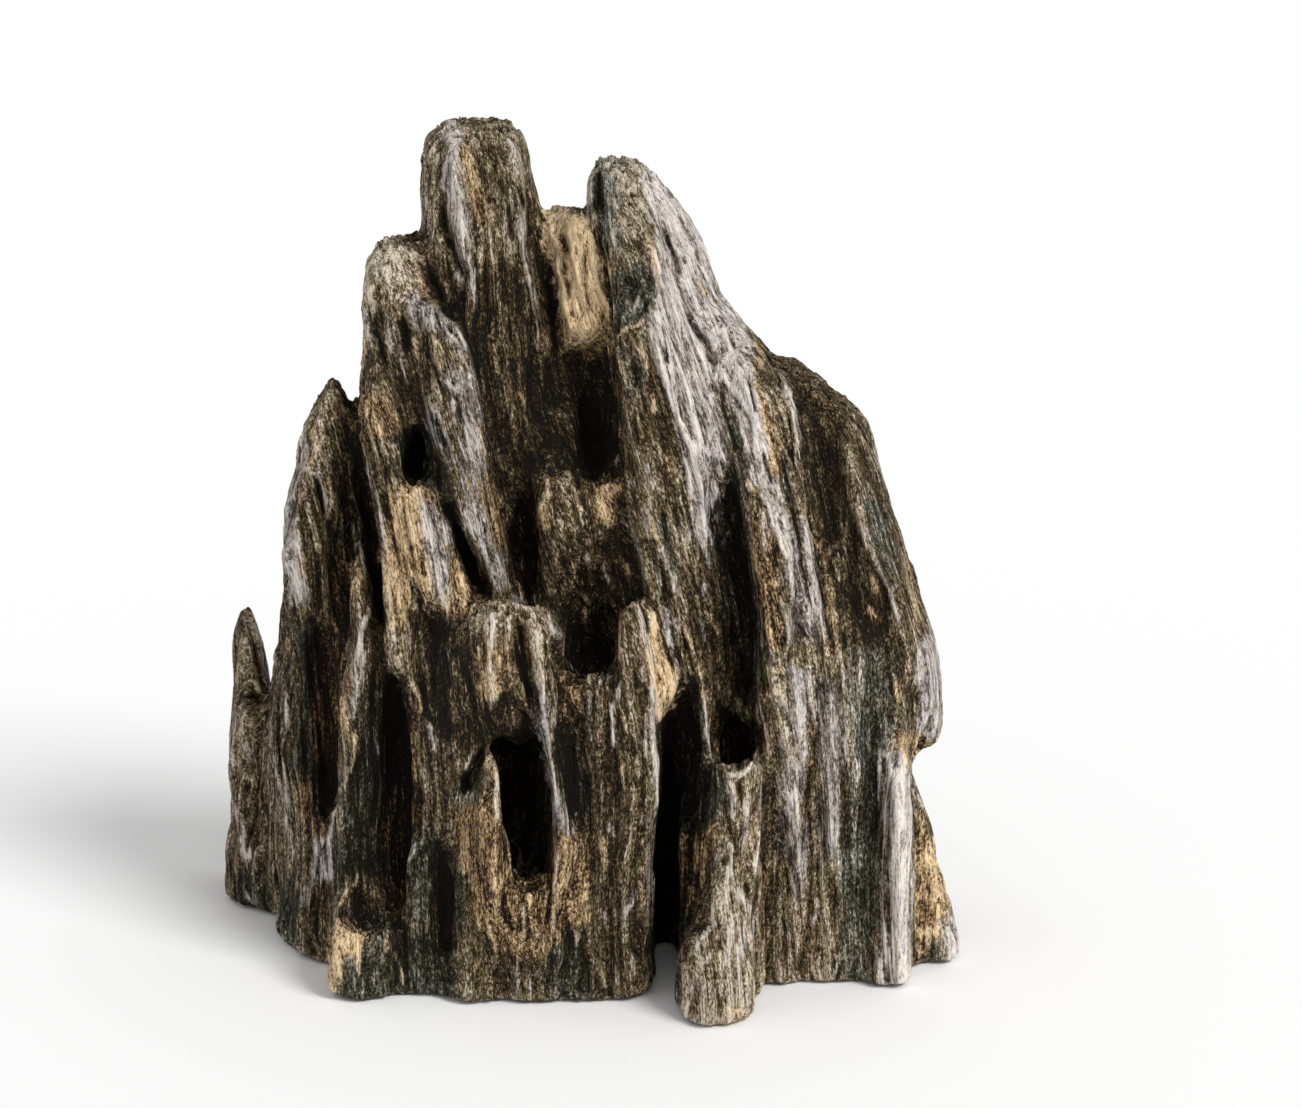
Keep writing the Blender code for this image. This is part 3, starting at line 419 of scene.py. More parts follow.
        -36.4, 47.6, -37.6, 53, -37.8, 58]),
    ("plain", 0.13, 0.8, [-34, 72, -31, 74.4, -29.8, 72, -31, 68, -32, 64, -34, 64]),
    ("tan", 0.04, 1, [-30.4, 55, -28, 54, -27.6, 50, -28.4, 48.4, -31, 48, -31.6, 51]),
    # tooth
    ("plain", 0.2, 0.8, [-15, 47.8, -10, 49, -6.8, 49.2, -5.4, 46.6, -4.6, 43.6, -5, 40, -5.2, 37,
        -7.4, 38, -8.4, 41.4, -10, 42.4, -13, 42.6, -15.2, 44]),
    ("tan", 0.1, 0.8, [-14, 43, -10.2, 43, -10.4, 39.4, -11.4, 36.4, -12.4, 34.6, -13.4, 37, -14, 40]),
    ("pale", 0.08, 0.4, [-8, 38.6, -6.8, 38, -5, 37, -4.7, 33, -4.5, 30, -4.3, 28, -3.6, 26, -3, 23.6,
        -2.2, 21, -1.8, 19, -4, 18.6, -5.2, 21.8, -5.8, 24.4, -6.2, 27, -6.8, 30.6, -7.6, 33, -8, 36]),
    ("tan", -0.06, 0.8, [-4.8, 39, -2.4, 39.6, -1.6, 37, -2, 33.6, -4.4, 33]),
    # painted shade in the hollow beside the tooth
    ("green", -0.26, 0.6, [-4.3, 32.6, -2.6, 32.2, -1.4, 30, -0.9, 27, -0.4, 23, -1.4, 21.4, -2.6, 23,
        -3.4, 26, -4.2, 28.6]),
    ("plain", -0.32, 1, [-15, 36, -8, 37, -7, 33, -6.4, 27, -6.6, 22, -8, 22, -8.4, 29, -12, 31,
        -15, 31]),
    # face under the spike and the big hole
    ("tan", -0.02, 0.8, [-16.6, 24, -13.4, 25, -11.6, 29.4, -11, 21, -10, 18, -8, 16, -5.4, 15.4,
        -5.2, 12, -5.6, 8, -6, 5.6, -9, 5, -13, 7, -16, 12, -16.8, 20]),
    ("plain", 0, 1, [-17, 12, -13, 7, -9, 5, -6, 5.4, -6, -1, -18, -1]),
    ("tan", 0.09, 0.6, [-5, 20, -1.6, 20, -0.6, 15, -0.4, 9, -3, 8.4, -5, 6.4, -6, 6, -5.4, 9,
        -5.1, 14]),
    ("green", -0.1, 0.7, [-3.2, 8.4, -2.2, 8, -1, 5, 0.6, 2, 0, -1, -5.6, -1, -5.9, 3, -5, 6]),
    # painted shade in the hole left of the spike, and painted light on its lower side
    ("green", -0.26, 0.3, [-15.9, 25.2, -14.4, 30.4, -13.6, 30.4, -14.2, 28, -15, 25.4]),
    ("green", 0.08, 0.3, [-16.2, 24.2, -15.4, 25.6, -14.4, 27, -13.4, 27.6, -13, 26.4, -14.2, 24.6,
        -15.4, 23.6]),
    # left side; its darkest green areas are painted shade in its hollows
    ("plain", 0.2, 0.5, [-43.8, 44, -42.2, 48, -41.2, 47.4, -39.6, 43.6, -38.4, 40, -39, 37.4, -41.5, 38,
        -42.8, 37.4, -43.8, 41]),
    ("plain", 0.14, 0.8, [-43.6, 36, -39, 37, -38.4, 30, -37, 22, -36, 14, -34.8, 8, -43.6, 9,
        -44.6, 20]),
    ("green", -0.14, 0.7, [-43.4, 14.6, -41.6, 16, -40.4, 15.4, -39.2, 13.6, -38.6, 11.4, -38.2, 8,
        -43, 9]),
    ("green", -0.1, 0.7, [-38.4, 15, -36, 14.6, -34.8, 8, -34, 6, -38, 6.8]),
    ("tan", -0.11, 1, [-35.6, 45, -30, 44, -29.8, 34, -30.2, 29, -31, 24, -32.4, 20.4, -34.6, 20,
        -35.8, 26]),
    ("green", -0.16, 0.8, [-36, 45, -33.6, 45, -33.6, 38, -34.2, 30, -34.8, 26, -36, 28]),
    ("green", -0.34, 0.6, [-33.8, 29, -31, 28.4, -30.4, 26, -31, 23.4, -33.2, 23]),
    ("plain", 0, 0.6, [-34.2, 19.4, -31.2, 20, -31.2, 12, -31.8, 3, -34.8, 3]),
    ("pale", 0.2, 0.4, [-33.4, 19.8, -32.2, 20.4, -31.2, 21, -31.4, 17, -32, 14.6, -33, 14.6, -34.3, 12,
        -34, 15.4]),
    ("green", -0.23, 0.8, [-31, 20, -29.4, 28, -28.4, 36, -26.6, 38, -25.8, 33, -25.6, 24, -26, 15,
        -28.6, 16, -31, 12]),
    ("tan", -0.14, 0.6, [-24.4, 39.6, -23, 38.6, -21.8, 35, -21.2, 31, -20.8, 24, -21.2, 20.4, -22, 16,
        -24, 13, -26, 15, -25.6, 24, -25.6, 32]),
    ("green", -0.3, 0.6, [-24.6, 39.8, -23, 38.8, -22.2, 36, -22.2, 33.6, -24, 31, -24.8, 26, -25.6, 24,
        -25.8, 33, -25.4, 37]),
    ("green", -0.02, 0.6, [-22.2, 19.8, -20.4, 20.6, -18.8, 19, -19.4, 14, -20.4, 9, -22.4, 11]),
    ("green", -0.28, 0.7, [-19, 18.8, -17.4, 18.4, -16.5, 15, -16.3, 11, -17.4, 9.4, -19.4, 9.6,
        -20, 13]),
    ("green", -0.16, 1.2, [-24, 9, -17, 9, -16.4, -1, -23, -1]),
    # stump
    ("green", -0.02, 0.6, [-31, 8, -24.6, 9, -22.6, 4, -22.4, -1, -31, -1]),
    ("tan", 0.3, 0.4, [-31.4, 9.6, -30.6, 10.6, -29.6, 9.8, -28.4, 9, -26.8, 8.8, -27, 7, -27.6, 5,
        -28.4, 3.6, -29.2, 5, -30.2, 5.4, -30.6, 3, -31, 1, -32, -0.4, -32.6, 3, -31.8, 6]),
    ("green", -0.12, 0.5, [-29.4, 11, -28.2, 13.6, -27.2, 12.4, -26.8, 11, -25, 10.8, -24.8, 9.6,
        -27.6, 9.2, -29, 9.8]),
]

# Lines drawn on the front: tint, how much lighter the wood is along them, how far they stand out
# or in, their half width, then the places they run through, across and up by turns. Many are streaks
# of the wood's own colour; light ones along lit crests are partly painted highlights, and dark ones in
# grooves, slits and along the foot are partly painted shade.
STROKES = [
    # planes of the left peak
    ("plain", 0, 0.9, 2.4, [-17.2, 106, -16.6, 99, -15.9, 94, -15.1, 89, -14.4, 82]),
    ("plain", 0, 0.7, 2, [-9.6, 106, -8.9, 98, -8.6, 91, -7.6, 86, -6.9, 80]),
    ("pale", 0.16, 0.2, 0.6, [-20.8, 99, -20.4, 94, -20.1, 90]),
    # painted shade in the groove down the left peak
    ("green", -0.3, -0.9, 0.9, [-18.4, 96.4, -18, 94, -17.5, 92.5, -16.9, 91, -16.2, 89.5, -15.7, 88,
        -15, 85.5]),
    ("pale", 0.1, 0.2, 0.5, [-17, 104, -16.9, 100, -16.4, 96]),
    ("plain", -0.16, -0.2, 0.4, [-17.9, 102, -17.6, 99, -17.3, 97]),
    ("plain", -0.14, -0.3, 0.6, [-14.2, 103, -13.6, 100, -12.9, 97.4, -12.4, 95]),
    ("plain", -0.16, -0.2, 0.6, [-14.9, 95.6, -14.6, 93.6, -14.2, 91.6]),
    ("plain", -0.12, -0.2, 0.5, [-12.6, 94, -12.2, 91, -12, 88.6]),
    ("pale", 0.34, 0.5, 0.7, [-10.8, 104.6, -9.8, 103, -8.9, 100.8, -8.3, 98.6]),
    ("pale", 0.36, 0.8, 0.6, [-9.6, 98.6, -9.1, 96, -8.8, 93, -8.5, 91, -8, 88.5, -7.4, 85.5, -7, 82,
        -6.7, 79, -6.6, 77]),
    ("plain", -0.4, -0.5, 0.35, [-9.5, 98.8, -8.9, 97.4, -8.4, 95.4]),
    ("green", -0.2, -0.4, 0.45, [-10, 95.8, -9.7, 93, -9.4, 90.8]),
    ("tan", 0.1, 0.2, 0.5, [-7.6, 98.6, -7.1, 97, -6.6, 95]),
    ("tan", -0.46, -1, 0.9, [-7.9, 95.6, -7.3, 92.5, -6.9, 90, -6.4, 88, -5.9, 86, -5.4, 84.2, -5.1, 82,
        -4.9, 79.6]),
    ("pale", 0.24, 0.3, 0.4, [-15.4, 89.8, -14.9, 87, -14.5, 85, -14.2, 82.6, -14.2, 81.2]),
    ("plain", 0.18, 0.2, 0.35, [-11.8, 86.4, -11.5, 84.2, -11.2, 82.4]),
    ("plain", 0.17, 0.2, 0.3, [-10.3, 83.8, -10.1, 81.4]),
    ("plain", 0.22, 0.2, 0.35, [-12.1, 79.2, -11.8, 77, -11.4, 75]),
    ("plain", 0.16, 0.2, 0.4, [-17.1, 90, -16.8, 88, -16.5, 86.4]),
    ("plain", -0.1, -0.3, 0.5, [-13.6, 88, -12.8, 84, -12.4, 80]),
    ("plain", -0.1, -0.3, 0.6, [-10.9, 90, -10.4, 86, -9.6, 80, -9.2, 77]),
    ("plain", 0.12, 0.25, 0.5, [-8.9, 84, -8.5, 80, -8.2, 77]),
    ("tan", 0.02, 0.3, 0.9, [-21.4, 89, -20.7, 87, -19.8, 85.2, -18.8, 83.6]),
    # painted shadow between the left peak and the second spire
    ("green", -0.34, -0.8, 1, [-20.2, 90.6, -19.2, 87.6, -18.2, 84.8, -17.2, 82.8, -16, 81, -14.9, 79,
        -14.2, 76.5, -13.8, 74, -13.5, 72]),
    # tan wall
    ("plain", 0, 2.4, 3, [-2.6, 99, -2, 90, -1.2, 84, -0.8, 76]),
    ("tan", 0.24, 0.8, 0.6, [-6, 95.4, -5.5, 93.3, -5.1, 91.5, -4.9, 89.5, -4.4, 87.3, -3.9, 85.6,
        -3.3, 83.8, -2.8, 82, -2.6, 80, -2.5, 78]),
    ("tan", -0.62, -1, 0.8, [-4.4, 92.6, -3.7, 91.2, -3.2, 89.4]),
    ("tan", -0.46, -0.8, 0.5, [-4, 89.6, -3.6, 87.4, -3.3, 85.4, -2.9, 83.8]),
    ("tan", -0.46, -0.7, 0.4, [-5.5, 90, -5, 88, -4.6, 86.2]),
    ("tan", 0.17, 0.8, 0.6, [-3.1, 94, -3, 91.6, -2.8, 89.8, -2.4, 87.6, -1.9, 85.6, -1.5, 83.8]),
    ("tan", -0.49, -0.8, 0.5, [-1.3, 92.4, -1.2, 90, -1.2, 88, -1.1, 86, -0.9, 84, -0.8, 82,
        -0.8, 79.6]),
    ("tan", 0.24, 0.8, 0.8, [-0.6, 94, -0.3, 92, -0.1, 90, 0.2, 88, 0.6, 86, 1.2, 84, 1.7, 82.2]),
    ("tan", -0.32, -0.5, 0.4, [0.8, 86.8, 1.2, 85.2, 1.8, 83.4]),
    ("tan", -0.38, -0.7, 0.4, [0.6, 92, 1.2, 90, 1.8, 88, 2.3, 85.6]),
    ("tan", -0.41, -1, 1.3, [-5.2, 85, -5, 82, -4.8, 79.5, -4.6, 77]),
    # planes and edges of the right peak
    ("plain", 0, 1.3, 4, [4.8, 104, 6, 97, 6.8, 92, 8, 85.5, 8, 80, 9, 74, 10.8, 68, 12.8, 60,
        14.2, 53]),
    ("green", -0.34, -0.6, 1.1, [0.3, 101, 0.4, 98.4, 0.5, 96.4, 0.9, 94]),
    ("pale", 0.2, 0.3, 0.5, [-0.7, 101.4, -0.6, 98.8, -0.4, 96.6, 0, 95]),
    ("plain", 0.1, 0.1, 0.8, [3.4, 99.4, 2.8, 97, 2.4, 95]),
    ("plain", -0.14, -0.2, 0.8, [2.2, 93, 3.4, 91.4, 5.6, 90.6, 6.4, 89.4]),
    ("pale", 0.3, 0.5, 0.5, [5, 101.2, 5.7, 99, 6.1, 97.2, 6.5, 95.4]),
    ("tan", 0.14, 0.3, 0.5, [6.3, 94, 6.8, 91.6, 7.2, 89.6, 7.7, 87.2, 8.2, 84.8]),
    ("plain", 0, -0.6, 2.6, [3.4, 87, 5.4, 85.4, 6, 84]),
    ("pale", 0.26, 0.4, 0.5, [6.4, 86.4, 5.6, 84.8, 4.9, 83, 4.4, 81.2]),
    ("green", -0.16, -0.3, 0.5, [5.8, 82.4, 6.6, 83.8, 7.4, 84.8]),
    ("tan", 0.2, 0.4, 0.5, [2.4, 79.8, 3.8, 80.6, 5.4, 81.4, 6.6, 82.2]),
    ("plain", 0, -0.6, 1.6, [4.2, 76.6, 4.9, 74.8, 4.8, 73]),
    ("green", -0.2, -0.3, 0.5, [2.8, 79.8, 3.4, 78.2, 3.9, 76.4]),
    ("tan", 0.28, 0.3, 0.35, [2.1, 79.8, 2.5, 77.8, 3, 76.2, 3.4, 74.4]),
    ("tan", 0.26, 0.35, 0.4, [4.2, 81, 5, 78.8, 5.8, 77, 6.4, 75.2]),
    ("pale", 0.4, 0.8, 0.6, [6.6, 82.8, 7.1, 80, 7.7, 77.6, 8.4, 75.4, 9.1, 73, 9.9, 70.6, 10.8, 68.4,
        11.8, 66.6, 12.3, 64.4, 12.6, 62]),
    ("tan", 0.2, 0.3, 0.35, [5.8, 79.2, 6.4, 77, 7, 75, 7.6, 73, 8.4, 70.4]),
    ("tan", -0.25, -0.3, 0.3, [6, 78.8, 6.6, 76.6, 6.9, 74.4]),
    ("tan", 0.3, 0.3, 0.4, [6.6, 73.6, 7.2, 71.8, 7.8, 70.2]),
    ("tan", 0.24, 0.3, 0.35, [3.1, 69.4, 3.4, 67.6, 3.8, 65.8]),
    ("tan", 0.2, 0.3, 0.3, [5, 71.4, 5.6, 69.4, 6.4, 67.4]),
    ("plain", -0.16, -0.3, 0.4, [4.4, 71.4, 4.8, 69, 5.6, 66.6]),
    ("plain", -0.2, -0.3, 0.4, [8.6, 70.4, 9.4, 67.6, 10.6, 64.6, 11.2, 62]),
    # flutes of the pale face
    ("pale", -0.24, -0.6, 0.7, [7.4, 94.8, 8.4, 92.4, 9.2, 90.2, 9.8, 88, 10.3, 85.6]),
    ("pale", -0.18, -0.6, 0.6, [9.6, 95.6, 10.6, 93, 11.6, 91.3, 12.4, 89.4, 13.4, 87.4]),
    ("pale", 0.1, 0.4, 0.6, [6.8, 97, 8, 95, 9.4, 92.4, 10.2, 90, 10.9, 87.6, 11.6, 85]),
    ("plain", -0.48, -0.6, 0.3, [10.3, 89.8, 10.8, 88]),
    ("plain", -0.48, -0.6, 0.3, [8, 89.2, 8.6, 87.5]),
    ("plain", -0.48, -0.6, 0.3, [14.3, 88.2, 15.4, 86.5]),
    ("tan", 0.12, 0.4, 0.5, [12.4, 87.6, 13, 85.8, 13.6, 84.2]),
    ("pale", -0.26, -0.8, 0.8, [10.6, 83.8, 11.4, 82, 12.4, 80.6, 13.4, 79.2, 14.2, 77.4, 14.9, 75.8]),
    ("plain", -0.48, -0.7, 0.4, [7.9, 81.8, 8.5, 80, 8.8, 78.4, 9.2, 76.2]),
    ("pale", -0.38, -0.7, 0.45, [10, 81.6, 10.6, 79.4, 11.2, 77.6, 12, 75.2]),
    ("pale", -0.26, -0.6, 0.4, [16.1, 81.6, 16.6, 79.8, 17.1, 77.8]),
    ("pale", -0.42, -0.6, 0.35, [14.6, 83, 15.4, 82]),
    ("pale", 0.1, 0.4, 0.5, [14.3, 84, 15.4, 81, 16.6, 77.4, 17.4, 74.8, 18.4, 71.4, 19, 68, 19.4, 65]),
    ("pale", 0.1, 0.4, 0.5, [9, 84, 10.2, 80.4, 11.6, 76.6, 12.8, 73, 13.2, 70]),
    ("pale", -0.24, -0.5, 0.4, [17.8, 76, 18.3, 74, 18.7, 72, 19.2, 70]),
    ("plain", -0.41, -0.6, 0.35, [11.5, 73, 12.2, 70.6, 12.8, 68.6, 13.3, 66.2]),
    # painted shade in the groove of the pale face
    ("green", -0.24, -0.4, 1.1, [14.4, 75.6, 15.3, 73.4, 15.9, 71.6, 16.4, 69.8, 16.8, 68, 16.8, 65]),
    ("plain", -0.41, -0.6, 0.35, [15.2, 75.3, 16.2, 73.4, 17, 71.6, 18, 70, 18.6, 67.6]),
    ("pale", 0.17, 0.8, 0.7, [11.2, 68, 12, 65, 12.6, 62.8, 13, 60.6, 13.4, 58.4, 13.8, 56.4, 14.1, 54.4,
        14, 52.6]),
    # crest between the pale face and the shoulder
    ("plain", 0, 1, 1.8, [20.8, 79, 22, 76, 22.8, 74.5, 23.5, 73, 23.9, 71.5, 24.2, 69.5, 24.4, 67,
        24.6, 63, 25.4, 60, 26.4, 56]),
    # painted highlight along the crest
    ("pale", 0.8, 1.2, 0.6, [21.2, 77.8, 22, 76, 22.8, 74.5, 23.5, 73, 23.9, 71.5, 24.2, 69.5, 24.5, 67,
        24.2, 65, 24.6, 63]),
    ("tan", 0.14, 0.5, 0.8, [24.8, 63, 25.6, 60, 26.4, 57, 27.2, 54, 27.8, 51.5, 28.3, 48.6, 28.7, 45,
        28.8, 42]),
    ("plain", -0.34, -0.4, 0.35, [19.8, 66.6, 20.4, 65, 21, 63.6, 21.5, 62.2]),
    ("pale", -0.2, -0.3, 0.4, [22.2, 66.6, 22.6, 64, 23.2, 61.6, 23.8, 59]),
    ("tan", -0.4, -0.4, 0.4, [24, 60, 24.4, 57.5, 24.8, 55.5, 25, 52.6]),
    ("pale", 0.12, 0.4, 0.7, [25.6, 57, 26, 53.6, 26.3, 50, 26.7, 47, 27, 43]),
    ("tan", 0.34, 0.5, 0.5, [18.3, 63, 18.4, 62, 19.4, 61.1, 20.2, 60.4]),
    ("tan", 0.06, 0.4, 0.7, [18.6, 60.6, 19.2, 58.6, 19.6, 57, 19.6, 54.6, 19.7, 52.4, 20, 50]),
    ("pale", 0.32, 0.5, 0.5, [20, 60.2, 20.3, 57.8, 20.6, 55.4, 20.9, 53]),
    ("tan", -0.22, -0.4, 0.5, [21.2, 58, 21.8, 56, 22.1, 54, 22.1, 51.6]),
    ("pale", 0.44, 0.9, 0.6, [21.8, 58, 22.4, 56.4, 23, 54.8, 23.6, 53, 23.7, 51, 23.6, 49, 23.9, 47.6]),
    ("pale", 0.16, 0.3, 1.1, [23, 55, 23.2, 52, 23.4, 49.6]),
    ("tan", -0.36, -0.4, 0.35, [24.5, 53.6, 25, 51.5, 25.3, 49.6]),
    ("tan", -0.4, -0.4, 0.5, [24.1, 47.2, 24.9, 46]),
    ("tan", -0.3, -0.3, 0.3, [24, 46.2, 25, 44.6, 25.8, 43.4]),
    ("pale", 0.36, 0.8, 0.5, [22.6, 50, 22.9, 47, 23.2, 45, 23, 43.4, 22.5, 41.6, 21.6, 40.2]),
    ("tan", 0.24, 0.4, 0.4, [20.6, 39.4, 21.8, 40.1, 22.8, 40.8]),
    ("tan", 0.2, 0.4, 0.35, [20, 37, 21.2, 37.3, 22.2, 36.6]),
    ("plain", -0.16, -0.3, 0.5, [20.6, 51, 21, 47.6, 21.4, 44.4]),
    # right shoulder
    ("plain", 0, 1, 2.6, [31, 72, 31, 64, 32.2, 57.4, 33.6, 54, 35.6, 50, 36.8, 44, 38.6, 38]),
    ("plain", 0, -0.7, 2.4, [26.6, 72, 27.8, 64, 29.4, 56, 31.4, 48, 33, 40]),
    ("tan", 0.05, 0, 1.2, [27.6, 73, 28.2, 71, 28.6, 69]),
    ("pale", 0.32, 0.5, 0.5, [31.4, 60.4, 32.2, 57.4, 33, 55, 34, 53, 35, 51.4, 35.7, 49.6, 36, 47.6,
        36.2, 45.6, 36.6, 43.6]),
    ("tan", 0.2, 0.2, 0.9, [37, 54.6, 38, 51, 38.5, 48.6, 38.6, 46, 39, 43.4]),
    ("pale", 0.14, 0.2, 0.9, [40, 49, 40.6, 45, 41.4, 41, 42, 36]),
    ("pale", 0.12, 0.2, 0.7, [33.2, 68, 34, 65, 34.6, 62]),
    ("tan", 0.4, 0.2, 0.6, [33, 48, 33.6, 46.8, 34.3, 45.4]),
    ("tan", 0.18, 0.1, 0.6, [33.1, 51.8, 33.7, 50.4, 34.2, 48.8]),
    ("tan", 0.16, 0.2, 0.4, [35.9, 39, 36.3, 37.6, 37, 36]),
    ("green", -0.36, -0.6, 0.5, [38.9, 30.8, 39.6, 30.2]),
    # column under the rim hole
    ("pale", 0.3, 0.4, 0.4, [13.3, 33.2, 13.7, 31.4, 14.1, 30, 14.8, 29.3, 15.8, 28.8, 16.6, 28.4]),
    ("pale", 0.4, 0.5, 0.45, [15.5, 27.9, 16.6, 27.6, 17.8, 27.4, 18.8, 28.2, 19.1, 29.2, 19.3, 30.2]),
    ("pale", 0.36, 0.7, 0.55, [19.3, 30.2, 19.7, 28.6, 20.1, 27, 20.2, 25, 20, 23, 20, 20, 19.7, 16,
        19.6, 12]),
    ("pale", 0.3, 0.4, 0.5, [16, 27.6, 16.2, 25.6, 16.4, 24, 16.4, 21.6]),
    ("tan", -0.3, -0.4, 0.5, [17, 27.2, 17.4, 25.6, 17.2, 24]),
    ("pale", 0.12, 0.2, 0.5, [18.4, 26, 18.2, 23, 18, 20, 18.2, 17]),
    ("tan", 0.22, 0.3, 0.35, [14.2, 32.2, 14.8, 30.8, 15.2, 29.6]),
    ("tan", 0.26, 0.3, 0.35, [14.2, 36.8, 14.9, 35, 15.3, 33.2]),
    ("pale", 0.36, 0.4, 0.4, [19.6, 36.4, 19.7, 34.6, 19.9, 33.2]),
    ("tan", -0.3, -0.5, 0.6, [20.4, 22, 20.5, 18, 20.4, 14, 20.4, 10, 20.3, 5]),
    # front foot
    ("pale", 0.46, 0.9, 0.6, [15.8, 19.9, 16.4, 18.4, 16.6, 17, 16.3, 15.6, 16, 14]),
    ("pale", 0.28, 0.6, 0.5, [14, 16, 15.2, 17.4, 15.9, 18.8]),
    ("pale", 0.24, 0.5, 0.7, [16, 14.4, 17.2, 13, 18.2, 11.4, 18.8, 9.6, 19, 6]),
    ("tan", -0.44, -0.5, 0.35, [16.9, 18.4, 16.9, 16.4, 17.1, 14.8]),
    ("tan", -0.34, -0.4, 0.4, [18.3, 15, 18.3, 13, 18.6, 11.6]),
    ("pale", 0.26, 0.4, 0.45, [14.2, 12.4, 14, 10.4, 13.9, 8.4]),
    ("pale", 0.3, 0.4, 0.5, [13.7, 8.8, 12.6, 7.6, 12.1, 6]),
    ("pale", 0.3, 0.3, 0.35, [12.4, 4.1, 13.4, 4.6, 14.1, 5.8]),
    ("plain", -0.22, -0.4, 0.7, [14.6, 10.6, 15.2, 8, 14.6, 5.6]),
    ("green", -0.2, -0.3, 0.6, [12.5, 7, 13.2, 5.2]),
    ("pale", 0.2, 0.3, 0.6, [16.6, 12, 16.3, 8, 15.9, 5.6, 15.3, 3]),
    ("pale", 0.14, 0.3, 0.6, [17.7, 9.6, 17.5, 5, 17.1, 0]),
    ("tan", 0.18, 0, 0.9, [15.3, -1.4, 17, -1.2, 18.4, -1]),
    ("pale", 0.22, 0.2, 0.35, [11.9, 3, 11.5, 0, 11.3, -2]),
    ("pale", 0.18, 0.2, 0.4, [13.5, 2.4, 13, -0.4]),
    # painted shade at the foot of the cleft
    ("green", -0.16, 0, 0.8, [10, 5, 9.9, 1, 10, -2]),
    # lone spire and what stands beside it
    ("plain", 0, 1, 1.6, [4.6, 48.6, 5.9, 45, 6.9, 40, 7.3, 34, 7.4, 28, 7, 21, 6.7, 12, 6.4, 2]),
    ("green", -0.26, -0.6, 0.8, [3.6, 47.2, 4.5, 46.9]),
    ("pale", 0.5, 0.7, 0.6, [4.2, 48.5, 5.2, 47.4, 5.8, 45.6, 6.3, 43.6, 6.8, 41.4, 7, 39]),
    ("pale", 0.44, 0.6, 0.75, [7, 41, 7.1, 38, 7.3, 35, 7.5, 32, 7.6, 29, 7.6, 26.4, 7.3, 24, 7, 21.6,
        6.8, 19]),
    ("pale", 0.18, 0.3, 0.6, [6.7, 20, 6.8, 15, 6.7, 11, 6.5, 7]),
    ("tan", -0.44, -0.4, 0.4, [8.8, 44, 9.4, 41.6, 9.8, 39.4]),
    ("pale", 0.36, 0.5, 0.45, [9, 44.6, 9.6, 42, 10.1, 40.4, 10.3, 38.6]),
    ("tan", 0.36, 0.7, 0.6, [10.7, 46.4, 11.4, 44.4, 12, 42.6, 12.4, 41, 12.8, 39.4, 13.1, 37.6,
        13.4, 35.6, 13.6, 34]),
    ("pale", 0.34, 0.5, 0.4, [13.2, 38, 13.4, 35.6, 13.5, 33, 13.4, 31.8, 14, 30.4, 14.2, 28.6]),
    ("tan", 0.46, 0.4, 0.6, [13.6, 47.4, 14.2, 46, 14.6, 44.8, 15, 43.6]),
    ("pale", 0.2, 0.3, 0.45, [12.8, 47.4, 13.2, 45, 13.6, 42.6]),
    ("tan", -0.24, -0.4, 0.5, [10.4, 47, 11, 44, 11.8, 41]),
    ("pale", 0.3, 0.5, 0.5, [3.5, 40, 3, 37.6, 2.8, 35.6, 2.5, 33.6, 2.2, 31.6, 2.2, 29.6]),
    ("tan", 0.2, 0.3, 0.35, [3.4, 36, 4, 33.6, 4.5, 32.2]),
    ("plain", -0.16, -0.3, 0.8, [4.4, 44, 4.7, 41.6, 5, 39, 5.3, 36.6]),
    ("pale", 0.26, 0.3, 0.35, [6.4, 36.4, 6.2, 33, 6.3, 30, 6.3, 27.6]),
    ("tan", 0.14, 0.2, 0.5, [3.2, 30, 3.4, 27, 3.3, 24]),
    ("pale", 0.26, 0.2, 0.35, [5.7, 23, 5.9, 21]),
    ("pale", 0.3, 0.2, 0.35, [1.8, 21.6, 2, 19.8]),
    ("tan", 0.24, 0.2, 0.35, [3.7, 18, 3.4, 16.2]),
    ("pale", 0.26, 0.2, 0.4, [4.7, 14, 4.5, 12.4, 4, 11, 3.8, 9]),
    ("tan", 0.24, 0.2, 0.4, [6.3, 12.6, 6.4, 10.6, 6.3, 9]),
    ("pale", 0.3, 0.2, 0.35, [4.8, 6.4, 5, 4]),
    ("pale", 0.28, 0.2, 0.35, [1.1, 11.4, 1.3, 9.4]),
    ("pale", 0.3, 0.3, 0.35, [2.5, 5.4, 2.8, 3.4, 3.2, 1.8, 3.8, -0.2]),
    ("tan", 0.2, 0.2, 0.5, [0.6, 4.2, 0.9, 2.8]),
    # painted shade along the foot, where the wood meets the floor
    ("green", -0.36, -0.4, 0.9, [0.6, 1, 1.6, 1.1, 2.8, 0.6]),
    ("tan", 0.16, 0.3, 0.5, [1, 20.4, 1.2, 18, 1.4, 15.6]),
    ("tan", -0.14, -0.5, 1, [-0.6, 22.6, -0.2, 19, -0.4, 16, -0.2, 13.2]),
    ("tan", 0.14, 0.1, 0.9, [12.8, 20.4, 14.6, 20.6]),
    ("tan", 0.18, 0.2, 0.4, [12.7, 20, 12.4, 18, 12.3, 15.6]),
    # middle
    ("tan", 0.36, 0.4, 0.4, [-5.8, 63.8, -5.6, 62, -5.8, 60.6, -6.6, 59.4, -7.4, 57.8]),
    ("tan", 0.28, 0.3, 0.35, [-2.9, 63.2, -2.3, 61.4, -2, 59.8, -1, 58.4]),
    ("tan", 0.3, 0.1, 0.5, [-9.3, 73.8, -8.6, 72.5, -8, 70.8]),
    ("tan", 0.24, 0.1, 0.4, [-5.9, 70.8, -5.4, 69, -5.2, 67.6]),
    ("tan", 0.24, 0.2, 0.4, [-2.9, 54, -2.8, 51, -2.9, 49]),
